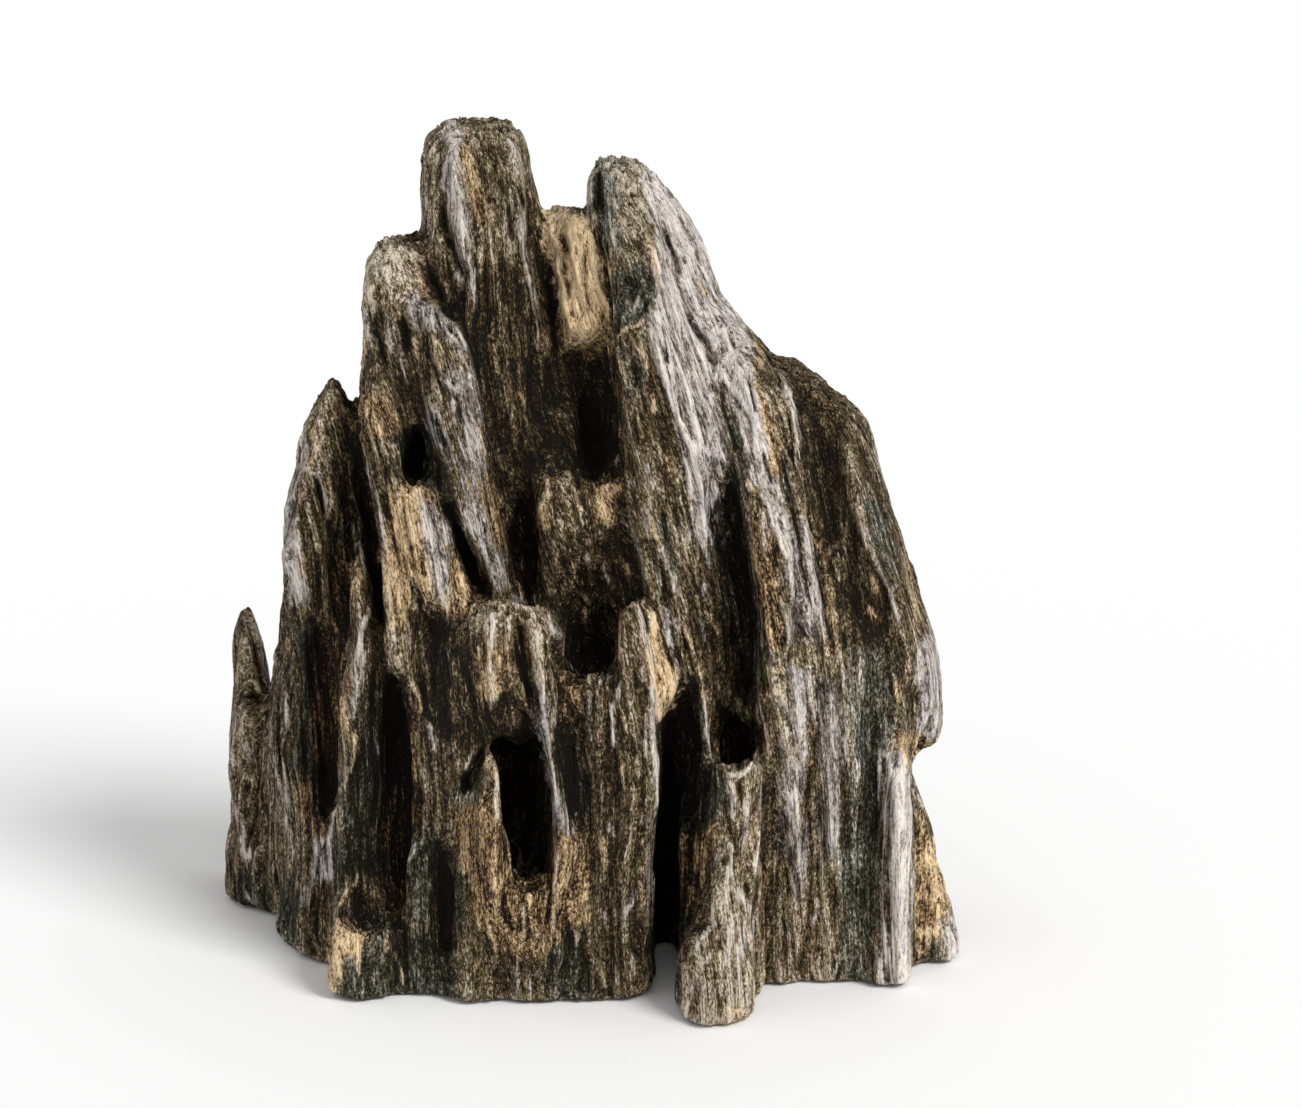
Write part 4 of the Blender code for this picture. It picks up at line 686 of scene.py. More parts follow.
    ("pale", 0.22, 0.2, 0.35, [0.9, 53.6, 1.1, 51.4, 1.2, 49.6]),
    ("tan", 0.3, 0.3, 0.4, [-1.1, 50, -0.9, 47, -0.7, 44.4]),
    ("tan", 0.3, 0.2, 0.45, [3.9, 53.2, 4.3, 50.8]),
    ("pale", 0.24, 0.2, 0.3, [0.4, 57.2, 0.8, 55.4]),
    ("pale", 0.2, 0.2, 0.3, [-0.9, 54.2, -0.7, 52.8]),
    ("tan", 0.2, 0.2, 0.4, [2.6, 46, 2.7, 43.6, 2.9, 41]),
    ("tan", -0.14, -0.3, 0.5, [-4.4, 56, -4.2, 51, -3.8, 46]),
    ("tan", -0.14, -0.3, 0.5, [0.2, 48, 0.4, 45, 0.2, 42]),
    ("pale", 0.26, 0.3, 0.35, [-9.3, 55, -8.8, 53.2, -8.3, 51.6]),
    ("tan", 0.4, 0.4, 0.4, [-8.9, 51.2, -8.7, 49.6, -8.6, 48.2]),
    ("pale", 0.4, 0.5, 0.4, [-4.5, 44.6, -4, 42.4, -3.4, 41, -2.6, 40.2, -1.8, 39.2, -0.8, 38.8]),
    ("pale", 0.28, 0.3, 0.35, [-1.2, 38.8, 0.6, 38.8, 1.6, 39.2, 2.6, 39.8]),
    ("pale", 0.12, 0.2, 0.6, [-0.2, 38.4, -0.3, 36, -0.4, 33, -0.3, 31]),
    # lower flank of the right peak
    ("pale", 0.22, 0.3, 0.4, [6, 65.2, 6.3, 63.2, 6.7, 61.4]),
    ("tan", 0.12, 0.2, 0.6, [8.2, 67.4, 8.8, 65, 9.5, 62.6]),
    ("pale", 0.2, 0.3, 0.35, [4.6, 60, 4.8, 57, 5.2, 55, 5.8, 53, 6.3, 51.6]),
    ("pale", 0.2, 0.2, 0.35, [6.1, 60.6, 6.4, 57.6, 6.8, 55]),
    ("pale", 0.3, 0.3, 0.35, [7.3, 55.4, 7.5, 53.4, 7.8, 51.4, 8, 49.2]),
    ("pale", 0.26, 0.2, 0.3, [10, 57.6, 10.4, 55]),
    ("pale", 0.26, 0.2, 0.3, [11.4, 57.8, 11.7, 55.2]),
    ("tan", 0.24, 0.2, 0.7, [12.2, 57.8, 12.8, 56.4]),
    ("pale", 0.26, 0.3, 0.5, [13.2, 51, 13.4, 49, 13.8, 47.6]),
    ("pale", 0.2, 0.2, 0.3, [9.7, 52, 9.9, 50, 9.9, 48.4]),
    ("plain", -0.14, -0.2, 0.7, [9.4, 60.4, 11.2, 59]),
    ("plain", -0.16, -0.3, 0.5, [8.6, 62, 8.2, 58, 8.6, 54]),
    ("plain", -0.16, -0.3, 0.4, [11.6, 55, 12, 51.4, 12.2, 47.6]),
    # second spire
    ("pale", 0.2, 0.3, 0.5, [-27.8, 88.6, -27.5, 84, -27, 80, -26.7, 77.4]),
    ("tan", 0.06, 0.1, 0.7, [-27.9, 82, -27.7, 79, -27.9, 76]),
    ("green", -0.22, -0.5, 0.5, [-26.1, 83.4, -25.9, 80, -25.6, 77.6, -24.9, 75.4]),
    ("green", -0.2, -0.5, 0.4, [-24.1, 81.2, -23.8, 79, -23.6, 76, -23.1, 74.2]),
    ("green", -0.22, -0.6, 0.8, [-23.1, 83.2, -22.9, 80, -22.7, 77.6]),
    ("pale", 0.22, 0.3, 0.4, [-25.3, 83.4, -24.9, 80, -24.5, 77.6]),
    ("pale", 0.24, 0.3, 0.4, [-24.2, 82.4, -23.9, 79, -23.4, 76.5, -22.6, 74.8]),
    ("tan", 0.26, 0.3, 0.7, [-21.9, 80.6, -21.2, 77.2]),
    ("pale", 0.24, 0.7, 0.35, [-22.3, 86.2, -20.5, 84.6, -19.5, 83.6, -18, 82.4, -17, 81.5, -16.2, 80,
        -15.6, 78.5, -15.2, 77, -14.8, 75.5, -14.3, 73.7, -14.1, 72]),
    ("plain", 0, 0.8, 1.8, [-22, 86, -19, 83, -16.6, 80.6, -15.2, 77, -14.2, 73, -13.6, 66, -13, 61]),
    ("tan", 0.24, 0.4, 0.5, [-19.4, 80.4, -18.8, 78, -18.3, 76.4, -18, 74.8]),
    ("green", -0.3, -0.5, 0.4, [-20.4, 80.8, -20, 78, -19.4, 76]),
    ("green", -0.18, -0.4, 0.9, [-19.2, 77, -18.2, 74.4, -17.4, 72]),
    ("plain", -0.14, -0.2, 0.5, [-17.2, 79.4, -16.5, 77]),
    ("pale", 0.24, 0.4, 0.45, [-18.2, 75.2, -17.2, 74, -16.3, 73.5, -15.6, 72.6]),
    ("tan", 0.3, 0.6, 0.3, [-14, 70.6, -13.6, 68, -13.2, 65.6, -12.7, 63.6]),
    ("tan", 0.32, 0.6, 0.3, [-20.4, 72.6, -19.5, 70.7, -18.8, 69.5, -18, 68, -17.2, 66.4, -16.8, 64]),
    ("green", -0.3, -0.4, 0.4, [-19.4, 70.4, -18.8, 68, -18.2, 66]),
    ("pale", 0.14, 0.3, 0.5, [-16.9, 73, -16.7, 71, -16.4, 69]),
    ("tan", 0.16, 0.2, 0.5, [-15.3, 63.8, -14.8, 61.6, -14.4, 59.6]),
    ("pale", 0.34, 0.5, 0.4, [-16.2, 61, -16, 59.4, -15.6, 58, -15.3, 56.2]),
    ("pale", 0.28, 0.4, 0.4, [-14.1, 56.4, -13.6, 54.4, -13, 53, -11.9, 51.2]),
    ("pale", 0.34, 0.5, 0.4, [-12.1, 54.8, -11.4, 53, -11, 51.6, -10.4, 50]),
    ("tan", 0.24, 0.3, 0.5, [-11.2, 51, -10.4, 49.8, -9.8, 48.8]),
    # painted shade in the two slits under the second spire
    ("green", -0.44, -1, 0.9, [-17.6, 60.6, -17, 58.4, -16.3, 56.4]),
    ("tan", -0.46, -1, 1.1, [-15.8, 55.8, -14.8, 53, -14, 51, -12.8, 49.2]),
    ("pale", 0.34, 0.6, 0.5, [-27.3, 67, -26.8, 64, -26.1, 62, -25.9, 60, -25.8, 58, -25.6, 56.4,
        -25.2, 54.6, -24.8, 52.6]),
    ("green", -0.22, -0.4, 0.7, [-25, 62, -24.8, 59, -24.6, 56.6]),
    ("plain", -0.4, -0.9, 1, [-28.6, 70, -28.4, 66, -27.8, 60, -26.6, 53, -25.6, 46, -25.4, 43.4]),
    ("plain", -0.4, -0.5, 1.3, [-22.4, 69, -21.6, 66.6, -21.2, 64]),
    # knob
    ("tan", 0.22, 0.3, 0.9, [-22.6, 59.4, -22.1, 57, -21.8, 54.6]),
    ("plain", -0.2, -0.2, 0.9, [-20.5, 56, -19.7, 54.6, -19.1, 52.6]),
    ("pale", 0.24, 0.5, 0.5, [-17.8, 58.4, -17.3, 56, -17, 54.2]),
    ("pale", 0.2, 0.5, 0.5, [-19.1, 54.4, -18.6, 52, -18.6, 50, -18, 48.4, -17, 46.2]),
    ("tan", 0.14, 0.3, 0.9, [-16.7, 53.6, -16, 51, -15.6, 49, -16, 47]),
    ("tan", -0.3, -0.3, 0.4, [-16.5, 52.8, -16.1, 51]),
    ("tan", -0.3, -0.4, 0.45, [-22.9, 54.4, -22.2, 53, -21.6, 51.2]),
    ("tan", -0.3, -0.4, 0.45, [-20.6, 54.4, -20.8, 52.4, -20.5, 50.6]),
    ("green", -0.3, -0.5, 0.8, [-22.2, 51.6, -21.6, 49, -20.8, 46.8]),
    ("tan", 0.2, 0.3, 0.5, [-24.2, 53.6, -23.6, 50, -23.2, 46]),
    # left spire
    ("green", -0.44, -0.8, 0.6, [-33.3, 64, -33, 61.6, -32.4, 60, -31.9, 58]),
    ("pale", 0.4, 0.6, 0.4, [-33.2, 64.8, -32.6, 62.6, -32.2, 61, -31.8, 59.4, -31.3, 57.4]),
    ("tan", 0.24, 0.3, 0.6, [-32, 64, -31.4, 61, -31, 58.6]),
    ("plain", 0.22, 0.3, 0.4, [-34.3, 61, -34, 58, -33.4, 56.4, -32.8, 54]),
    ("plain", -0.18, -0.3, 0.5, [-35.4, 60.6, -34.8, 57, -34.4, 53.6]),
    ("plain", -0.12, -0.3, 0.6, [-33.4, 54, -33, 50, -32.8, 46]),
    ("pale", 0.4, 0.5, 0.4, [-29.5, 59, -28.8, 56.4, -28.2, 54.6, -27.8, 53, -27.3, 50.6]),
    ("tan", -0.36, -0.5, 0.45, [-29.5, 57.4, -29, 55.4, -28.4, 53]),
    ("tan", 0.12, 0, 0.9, [-29.5, 54.4, -28.5, 52.2]),
    ("tan", 0.22, 0.2, 0.45, [-31.5, 47.6, -31, 45, -30.4, 43.6]),
    ("tan", -0.3, -0.5, 0.8, [-29.4, 48, -29.4, 45.6, -29.6, 43]),
    ("plain", 0.18, 0.2, 0.4, [-31, 69, -30.4, 66, -29.9, 62]),
    ("tan", 0.14, 0.2, 0.5, [-33.6, 70, -33.8, 67.4, -34, 65]),
    ("pale", 0.4, 0.7, 0.5, [-26.9, 49, -27.2, 47, -27.8, 45.6, -28.4, 44, -28.7, 42, -28.9, 39.6]),
    ("pale", 0.22, 0.6, 1, [-28, 45, -28.3, 42, -28.4, 39, -28.8, 36, -29, 33.4]),
    ("tan", 0.36, 0.7, 0.7, [-28.8, 33, -28.6, 30.6, -28.8, 29, -29.3, 27.4, -29.6, 25.6]),
    ("pale", 0.4, 0.7, 0.5, [-29.4, 26.6, -30.2, 25.2, -30.9, 24, -31.3, 22.6, -31.7, 21, -32.2, 19]),
    ("tan", -0.2, -0.3, 0.4, [-28, 30, -28.4, 28, -28.8, 26.4]),
    # far left
    ("pale", 0.4, 0.3, 0.6, [-41.2, 46.4, -40.2, 43.8, -39.6, 42, -38.9, 40]),
    ("tan", -0.32, -0.4, 0.5, [-40.9, 43.6, -40.2, 41, -39.6, 39]),
    ("tan", 0.36, 0.3, 0.5, [-41.5, 39.2, -40.6, 38.6, -40, 37.6, -39.2, 36.8]),
    ("green", -0.4, -0.5, 0.45, [-41.8, 36.5, -40.9, 36.9, -40.1, 36.3]),
    ("pale", 0.2, 0.3, 0.3, [-42.6, 36.4, -41.6, 37.2]),
    ("pale", 0.16, 0.2, 0.6, [-43, 36, -43.6, 31, -43.4, 26.6]),
    ("pale", 0.34, 0.6, 0.5, [-42.7, 26.4, -43, 24, -42.6, 22, -42, 20, -41.8, 18, -41.3, 16.4,
        -40.9, 15]),
    ("pale", 0.18, 0.1, 0.6, [-41.7, 31.4, -41.2, 29.4, -41, 28]),
    ("plain", -0.16, -0.4, 0.5, [-41.6, 27, -42, 23.6, -41.6, 20.6]),
    ("plain", 0.18, 0.2, 0.45, [-39.2, 21, -39, 17, -38.8, 14.4]),
    ("pale", 0.3, 0.6, 0.45, [-38.8, 37, -38.7, 33.6, -38.5, 31, -38.4, 28.6, -38.1, 26.6, -37.6, 25,
        -37.2, 23, -36.8, 21.4, -36.6, 20, -36.3, 18, -36, 16, -35.6, 14, -35.2, 12.4, -34.8, 10]),
    ("pale", 0.34, 0.8, 0.6, [-37.7, 42, -37.2, 38, -36.9, 35, -37, 32, -37.2, 30, -37.1, 28, -36.8, 26,
        -36.6, 24, -36.4, 22, -36.2, 19.6]),
    ("tan", 0.26, 0.2, 0.4, [-36.5, 44.4, -36.8, 43, -37, 41.6]),
    ("green", -0.1, -0.4, 0.5, [-38.1, 38, -38, 33, -37.9, 27]),
    ("pale", 0.26, 0.3, 0.35, [-42.1, 14.4, -41.4, 12.4, -41.1, 10.6]),
    ("tan", 0.18, 0.2, 0.45, [-39, 15, -38.6, 13, -38.5, 11]),
    ("pale", 0.3, 0.5, 0.4, [-33.2, 19.8, -33.8, 17, -34.2, 14, -34.3, 11.6, -34.3, 9]),
    ("plain", -0.16, -0.3, 0.5, [-33, 13.6, -33, 10, -33.2, 6]),
    ("tan", -0.06, 0.1, 0.8, [-30.8, 42, -30.6, 38, -31.4, 34]),
    ("tan", 0.12, 0.2, 0.5, [-33, 35, -32.4, 33, -31.8, 30.6]),
    ("pale", 0.14, 0.2, 0.35, [-26.2, 34, -25.8, 31, -25.7, 28.6]),
    ("tan", 0.12, 0.1, 0.6, [-23.4, 33, -23, 29, -22.8, 25]),
    ("tan", 0.42, 0.6, 0.45, [-22.8, 39, -22, 38, -21.4, 37, -21.2, 35.6, -21, 34]),
    ("pale", 0.28, 0.5, 0.7, [-20.9, 34.6, -19.9, 32.6, -19.3, 31, -19.2, 29.2]),
    ("pale", 0.4, 0.6, 0.45, [-20.6, 29, -20.3, 27, -20, 25.2]),
    ("pale", 0.36, 0.6, 0.35, [-20.5, 24.6, -20.5, 22.4, -20.2, 21.4, -20.7, 20]),
    ("pale", 0.36, 0.5, 0.4, [-21, 20.6, -21.7, 18.4, -22.1, 16.6, -22.3, 14.6, -22.3, 12]),
    ("plain", 0.16, 0.2, 0.4, [-19.5, 15.6, -20, 12.8]),
    ("pale", 0.2, 0.2, 0.4, [-18, 20.8, -17, 21.6, -16, 22.4]),
    # stump
    ("tan", -0.34, -0.3, 0.35, [-30.1, 9.6, -29.8, 8.2]),
    ("tan", -0.34, -0.3, 0.35, [-27.9, 8.2, -27.4, 6.8]),
    ("tan", -0.26, -0.2, 0.35, [-29.4, 7.2, -28.8, 6]),
    ("tan", 0.34, 0.3, 0.6, [-25.4, 8.4, -24.8, 6.6, -25.2, 5.4, -25.4, 3.6]),
    ("tan", 0.3, 0.3, 0.45, [-24.6, 6.8, -23.6, 5, -23, 3.6, -22.7, 2.2]),
    ("tan", 0.26, 0.5, 0.45, [-31.3, 10.4, -30.6, 12, -29.8, 13.2, -28.8, 14, -28.2, 15.2, -27.5, 13.8]),
    ("pale", 0.18, 0.3, 0.3, [-29.4, 10.2, -27.6, 9.3, -25.6, 9.4]),
    ("pale", 0.14, 0.2, 0.4, [-29, 4, -28.6, 1.6, -28.6, -0.4]),
    # tooth
    ("plain", 0, 0.9, 2, [-6.4, 48, -6.4, 42, -6, 36, -5.4, 31, -4.6, 26, -3.4, 20, -3.8, 12]),
    ("tan", -0.55, -1.1, 0.9, [-8.9, 47, -9.2, 44.6, -9.2, 42, -8.8, 40.4, -8.2, 38.6, -7.5, 37,
        -6.8, 34.6]),
    ("pale", 0.3, 0.6, 0.5, [-8.1, 36.4, -7.6, 34, -7, 31.4, -6.5, 29.4, -6.1, 27, -5.8, 25, -5.6, 23.4,
        -5, 21.8]),
    ("tan", 0.16, 0.4, 0.5, [-9, 38.6, -8.4, 36.8, -7.8, 35]),
    ("pale", 0.24, 0.6, 0.5, [-5.4, 47.4, -4.9, 45, -4.6, 43]),
    ("pale", 0.2, 0.3, 0.6, [-10.6, 48.6, -9.4, 48.2, -8, 48.4, -7, 48.8]),
    ("pale", 0.26, 0.6, 0.6, [-13.2, 47.6, -12, 45.8, -12.2, 43.6, -12.7, 41.8]),
    ("pale", 0.36, 0.4, 0.9, [-12.8, 42.4, -12.5, 40, -12.2, 37.6, -11.7, 35.4]),
    ("plain", 0.14, 0.5, 0.4, [-7.9, 46.6, -7.4, 43.6, -7.2, 40.8]),
    ("plain", -0.14, -0.3, 0.5, [-12.4, 47, -12, 44, -11.4, 41]),
    ("tan", 0.18, 0.2, 0.5, [-14, 39, -13.4, 36.6]),
    ("pale", 0.3, 0.2, 0.5, [-12.4, 37, -12, 35]),
    # spike and the face under it
    ("plain", 0, 0.8, 1.4, [-11.9, 29, -12.2, 22, -12.2, 15, -11.9, 6]),
    # painted highlight on the spike's lit edge
    ("pale", 0.56, 0.8, 0.5, [-12.4, 29.6, -12, 27, -11.9, 25, -11.8, 23, -11.6, 21.4, -11.2, 20]),
    ("tan", 0.26, 0.2, 0.5, [-12.2, 28.2, -12.4, 26.2]),
    ("tan", -0.26, -0.3, 0.4, [-12.4, 26.6, -13, 24.8, -13.3, 23.6]),
    # painted shade in the groove beside the spike
    ("green", -0.6, -2.4, 1.1, [-15.7, 24.6, -15.2, 26.2, -14.7, 27.6, -14.2, 29, -13.7, 30.6,
        -13.4, 31.6]),
    ("pale", 0.2, 0.3, 0.3, [-15.3, 30.2, -15.6, 28.8, -16, 27.2]),
    ("tan", 0.2, 0.4, 0.5, [-13.1, 30.4, -12.9, 29.2, -13, 27.6]),
    ("tan", 0.28, 0.4, 0.5, [-12, 20.6, -12.2, 18, -11.9, 16.4, -11.6, 15, -11.8, 13, -11.8, 11]),
    ("tan", 0.26, 0.3, 0.45, [-13, 10.4, -12.7, 8.6, -12.2, 7.4, -11.9, 6, -11.8, 4.4]),
    ("tan", -0.26, -0.3, 0.45, [-11, 13.2, -10.8, 11, -10.6, 9.2]),
    ("tan", -0.3, -0.3, 0.45, [-10.2, 11.6, -10, 10, -9.6, 8]),
    ("pale", 0.3, 0.3, 0.4, [-8.6, 12.4, -8.4, 10, -8.5, 8, -8.7, 6]),
    ("pale", 0.34, 0.4, 0.45, [-10.8, 17, -9.6, 16.2, -8.6, 15.4]),
    ("tan", 0.24, 0.4, 0.5, [-8.2, 15.2, -7, 15.4, -5.8, 15.2]),
    ("tan", -0.28, -0.4, 0.5, [-5.2, 17, -5.6, 14.6, -5.6, 12.4, -5.8, 10, -5.9, 8.2]),
    ("pale", 0.38, 0.6, 0.5, [-4.4, 19.4, -4.4, 17.4, -4.6, 15.6, -4.8, 13.8, -4.9, 11.6]),
    ("pale", 0.22, 0.3, 0.5, [-4.8, 11.4, -4.7, 9, -4.3, 7.6]),
    ("pale", 0.26, 0.2, 0.35, [-2.1, 8.6, -2.1, 6.4]),
    ("pale", 0.22, 0.2, 0.35, [-2.4, 16.2, -2.6, 14.4]),
    ("pale", 0.2, 0.2, 0.35, [-1.8, 19.4, -1.8, 16.8]),
    ("pale", 0.26, 0.2, 0.35, [-6.6, 9, -6.9, 7]),
    ("pale", 0.2, 0.2, 0.4, [-9, 6.4, -9, 3.4, -9, 1, -8.5, -0.6]),
    ("pale", 0.2, 0.2, 0.35, [-7.6, 3.8, -7.5, 1.4]),
    ("tan", 0.2, 0.2, 0.35, [-14.6, 5.4, -14.5, 3.4]),
    ("pale", 0.2, 0.2, 0.3, [-15.5, 7.4, -15.1, 5.4]),
    # painted shade along the foot, where the wood meets the floor
    ("green", -0.14, 0, 1, [-17, 0.6, -13, 0.4]),
    # lower right
    ("plain", 0, 0.5, 1.6, [24.2, 44, 24.4, 30, 24.4, 14, 24.4, 0]),
    ("plain", 0, 0.5, 1.4, [28.2, 42, 28.4, 30, 28.2, 14, 28.2, 0]),
    ("plain", 0, 0.9, 1.8, [36.6, 32, 36.6, 22, 36.8, 12, 36.8, 0]),
    ("tan", -0.2, -0.5, 0.6, [26.5, 36, 26.8, 33.6, 26.5, 31, 26.3, 28.6, 26, 26, 25.8, 24, 25.8, 21,
        26.1, 18]),
    ("pale", 0.24, 0.2, 0.3, [26.3, 36.8, 27, 35, 27.4, 33.4, 28, 31.4]),
    ("plain", -0.1, -0.4, 0.8, [22, 33, 21.8, 28, 21.8, 22]),
    ("tan", -0.14, -0.2, 0.5, [23.3, 32.6, 23.7, 30.6]),
    ("pale", 0.22, 0.2, 0.3, [30.8, 36.4, 31, 34.4, 30.9, 33]),
    ("plain", -0.24, -0.4, 0.4, [34.7, 30, 34.8, 27.4]),
    ("tan", 0.1, 0.1, 0.7, [36.5, 30.8, 37.4, 29.4, 37.3, 27.4]),
    ("tan", 0.2, 0.2, 0.9, [39.3, 18.8, 39.9, 16.4]),
    ("tan", 0.26, 0.2, 1.1, [39, 9, 40.4, 8.2, 41.8, 9]),
    ("tan", -0.16, -0.1, 0.7, [40, 14.8, 40.4, 12.6, 39.8, 9.8]),
    ("tan", -0.26, -0.3, 0.5, [22.5, 17.4, 23.2, 15, 23.7, 13, 23.2, 11.6]),
    ("green", -0.12, -0.2, 1.1, [22.6, 10.6, 22.9, 8.6]),
    ("pale", 0.46, 0.3, 0.35, [29.2, 6, 29, 4, 28.8, 2.6]),
    ("plain", -0.24, -0.3, 0.3, [28.7, 5.4, 28.4, 3]),
    ("pale", 0.24, 0.2, 0.35, [26.6, 13.4, 26.7, 11, 26.5, 8.8]),
    ("pale", 0.2, 0.2, 0.3, [31.4, 8.4, 31.7, 6.6]),
    ("tan", 0.18, 0.1, 0.5, [33.4, 8.8, 33.2, 6.6]),
    ("pale", 0.16, 0.1, 0.35, [31.7, 18, 32.1, 15.8]),
    ("plain", -0.16, -0.2, 0.5, [24.9, 6.4, 24.6, 3]),
    ("pale", 0.3, 0.2, 0.3, [36.7, 5.4, 36.9, 2.8]),
    # painted shade along the foot, where the wood meets the floor
    ("green", -0.12, 0, 1.4, [20, 1.6, 24, 2, 28, 1.8, 31, 1, 35, 1]),
]

# Places whose fibres lie calm: how strong, across, up, half width and half height. CALM_FADE is how
# fast their strength falls off.
CALM_WASHES = [
    (0.3, 12, 82, 7, 20), (0.4, 19, 66, 5, 10), (0.8, 30, 62, 5, 16), (0.8, 36, 46, 5, 12),
    (0.7, 30, 18, 7, 18), (0.6, -24, 26, 3, 14), (0.6, -1, 50, 5, 10), (0.6, 3, 24, 3, 18),
    (0.8, -13, 98, 6, 8), (0.7, 3, 96, 4, 8), (0.6, -21, 78, 6, 10), (0.6, -19, 52, 5, 8),
]
CALM_FADE = 0.9


def layout(points):
    """Across and up in the layout of points given in millimetres."""
    ray = points - EYE
    reach = ray @ FORWARD
    across = AIM_ACROSS + ray[:, 0] * VIEW_DISTANCE / reach
    up = AIM_UP + (ray @ UPWARD) * VIEW_DISTANCE / reach
    return across, up


def to_eye(points):
    """The direction from each point to the eye of the layout."""
    return (EYE - points) / np.linalg.norm(EYE - points, axis=1)[:, None]


def lean(height):
    """How far the fibres have leaned over at a height."""
    over = (height - LEAN_START) / LEAN_BLEND
    soft = LEAN_BLEND * np.log1p(np.exp(np.clip(over, -MOST, MOST)))
    return LEAN_LOW * height + (LEAN_HIGH - LEAN_LOW) * soft


def cell_number(cell, seed):
    """A number from 0 to 1 for each whole-numbered cell, always the same for the same cell."""
    key = seed * SCATTER[3]
    for axis in range(3):
        key = key ^ cell[:, axis] * SCATTER[axis]
    for bits, factor in STIRS:
        key = (key ^ key >> bits) * factor & STIR_BITS
    return (key >> 8 & LAST_BITS) / LAST_BITS


def soft_noise(points, seed):
    """Smooth noise from -1 to 1 at points whose cells are one unit wide."""
    cell = np.floor(points).astype(np.int64)
    part = points - cell
    ease = part ** 3 * (part * (part * 6 - 15) + 10)
    total = np.zeros(len(points))
    for corner in range(8):
        step = np.array([corner & 1, corner >> 1 & 1, corner >> 2 & 1])
        share = np.where(step, ease, 1.0 - ease).prod(axis=1)
        total += (cell_number(cell + step, seed) * 2.0 - 1.0) * share
    return total


def waves(grain, sizes, seed, total=0.0):
    """Noise of several widths and lengths along the fibres, added to a total."""
    for number, (wide, long, far) in enumerate(sizes):
        total = total + soft_noise(grain / [wide, wide, long], seed + number) * far
    return total


def fibres(places, seed):
    """Bundles of fibres round scattered cores, in places whose cells are one unit wide.

    The first answer is 0 in the crack between two bundles and rises to 1 inside them. The second is
    a number from -1 to 1 for the whole bundle.
    """
    home = np.floor(places).astype(np.int64)
    nearest = np.full(len(places), np.inf)
    second = nearest.copy()
    tone = np.zeros(len(places))
    for index in range(27):
        cell = home + [index % 3 - 1, index // 3 % 3 - 1, index // 9 - 1]
        away = np.zeros(len(places))
        for axis in range(3):
            core = cell[:, axis] + cell_number(cell, seed + axis)
            away += (core - places[:, axis]) ** 2
        away = np.sqrt(away)
        closer = away < nearest
        second = np.where(closer, nearest, np.minimum(second, away))
        tone = np.where(closer, cell_number(cell, seed + 3) * 2.0 - 1.0, tone)
        nearest = np.where(closer, away, nearest)
    return second - nearest, tone


def smooth_step(low, high, value):
    """0 below low, 1 above high, and a soft ramp between."""
    share = np.clip((value - low) / (high - low), 0.0, 1.0)
    return share * share * (3.0 - 2.0 * share)


def read_rows(items, name, kind, width):
    """One value of each of a mesh's items, as rows of numbers."""
    flat = np.empty(len(items) * width, kind)
    items.foreach_get(name, flat)
    return flat.reshape(-1, width)


def get_points(mesh):
    """The mesh's points in millimetres."""
    return read_rows(mesh.vertices, "co", np.float32, 3).astype(float) / MM


def set_points(mesh, points):
    """Moves the mesh's points to these places in millimetres."""
    mesh.vertices.foreach_set("co", (points * MM).astype(np.float32).ravel())
    mesh.update()


def get_normals(mesh):
    """The mesh's normals at its points."""
    return read_rows(mesh.vertex_normals, "vector", np.float32, 3).astype(float)


def get_edges(mesh):
    """The mesh's edges as pairs of point numbers."""
    return read_rows(mesh.edges, "vertices", np.int32, 2)


def averaged(edges, values, rounds):
    """Values at the points, each mixed with its neighbours' this many times."""
    ends, others = np.concatenate([edges, edges[:, ::-1]]).T
    degree = np.maximum(np.bincount(ends, minlength=len(values)), 1)
    table = values.reshape(len(values), -1).T.copy()
    for _ in range(rounds):
        for row in table:
            row[:] = 0.5 * row + 0.5 * np.bincount(ends, row[others], len(values)) / degree
    return table.T.reshape(values.shape)


def bake(obj):
    """Swaps an object's mesh for what its modifiers make of it."""
    graph = bpy.context.evaluated_depsgraph_get()
    mesh = bpy.data.meshes.new_from_object(obj.evaluated_get(graph))
    obj.modifiers.clear()
    old = obj.data
    obj.data = mesh
    bpy.data.meshes.remove(old)


def remesh(obj, voxel):
    """One skin of even quads round the object."""
    modifier = obj.modifiers.new("one skin", "REMESH")
    modifier.mode = "VOXEL"
    modifier.voxel_size = voxel * MM
    bake(obj)


def skin_tree(mesh):
    """The mesh as a tree that rays can be cast at."""
    return BVHTree.FromPolygons(
        [vertex.co.copy() for vertex in mesh.vertices],
        [polygon.vertices[:] for polygon in mesh.polygons])


def seen_from_front(mesh, points, normals):
    """Which points the eye of the layout sees, 1 or 0."""
    tree = skin_tree(mesh)
    eye = Vector(EYE * MM)
    seen = np.zeros(len(points))
    facing = ((EYE - points) * normals).sum(axis=1) > 0
    for index in np.nonzero(facing)[0]:
        start = Vector((points[index] + normals[index] * SIGHT_LIFT) * MM)
        ray = eye - start
        if tree.ray_cast(start, ray.normalized(), SIGHT_REACH)[0] is None:
            seen[index] = 1.0
    return seen


def in_box(across, up, places, margin):
    """Which points lie in the box round some places, or within a margin of it."""
    low = places.min(axis=0) - margin
    high = places.max(axis=0) + margin
    return np.nonzero(
        (across > low[0]) & (across < high[0]) & (up > low[1]) & (up < high[1]))[0]


def side_gap(across, up, start, step):
    """How far along a straight side the point's nearest place is, and the gap to it."""
    x = across - start[0]
    y = up - start[1]
    share = np.clip((x * step[0] + y * step[1]) / (step @ step), 0.0, 1.0)
    return share, np.hypot(x - share * step[0], y - share * step[1])


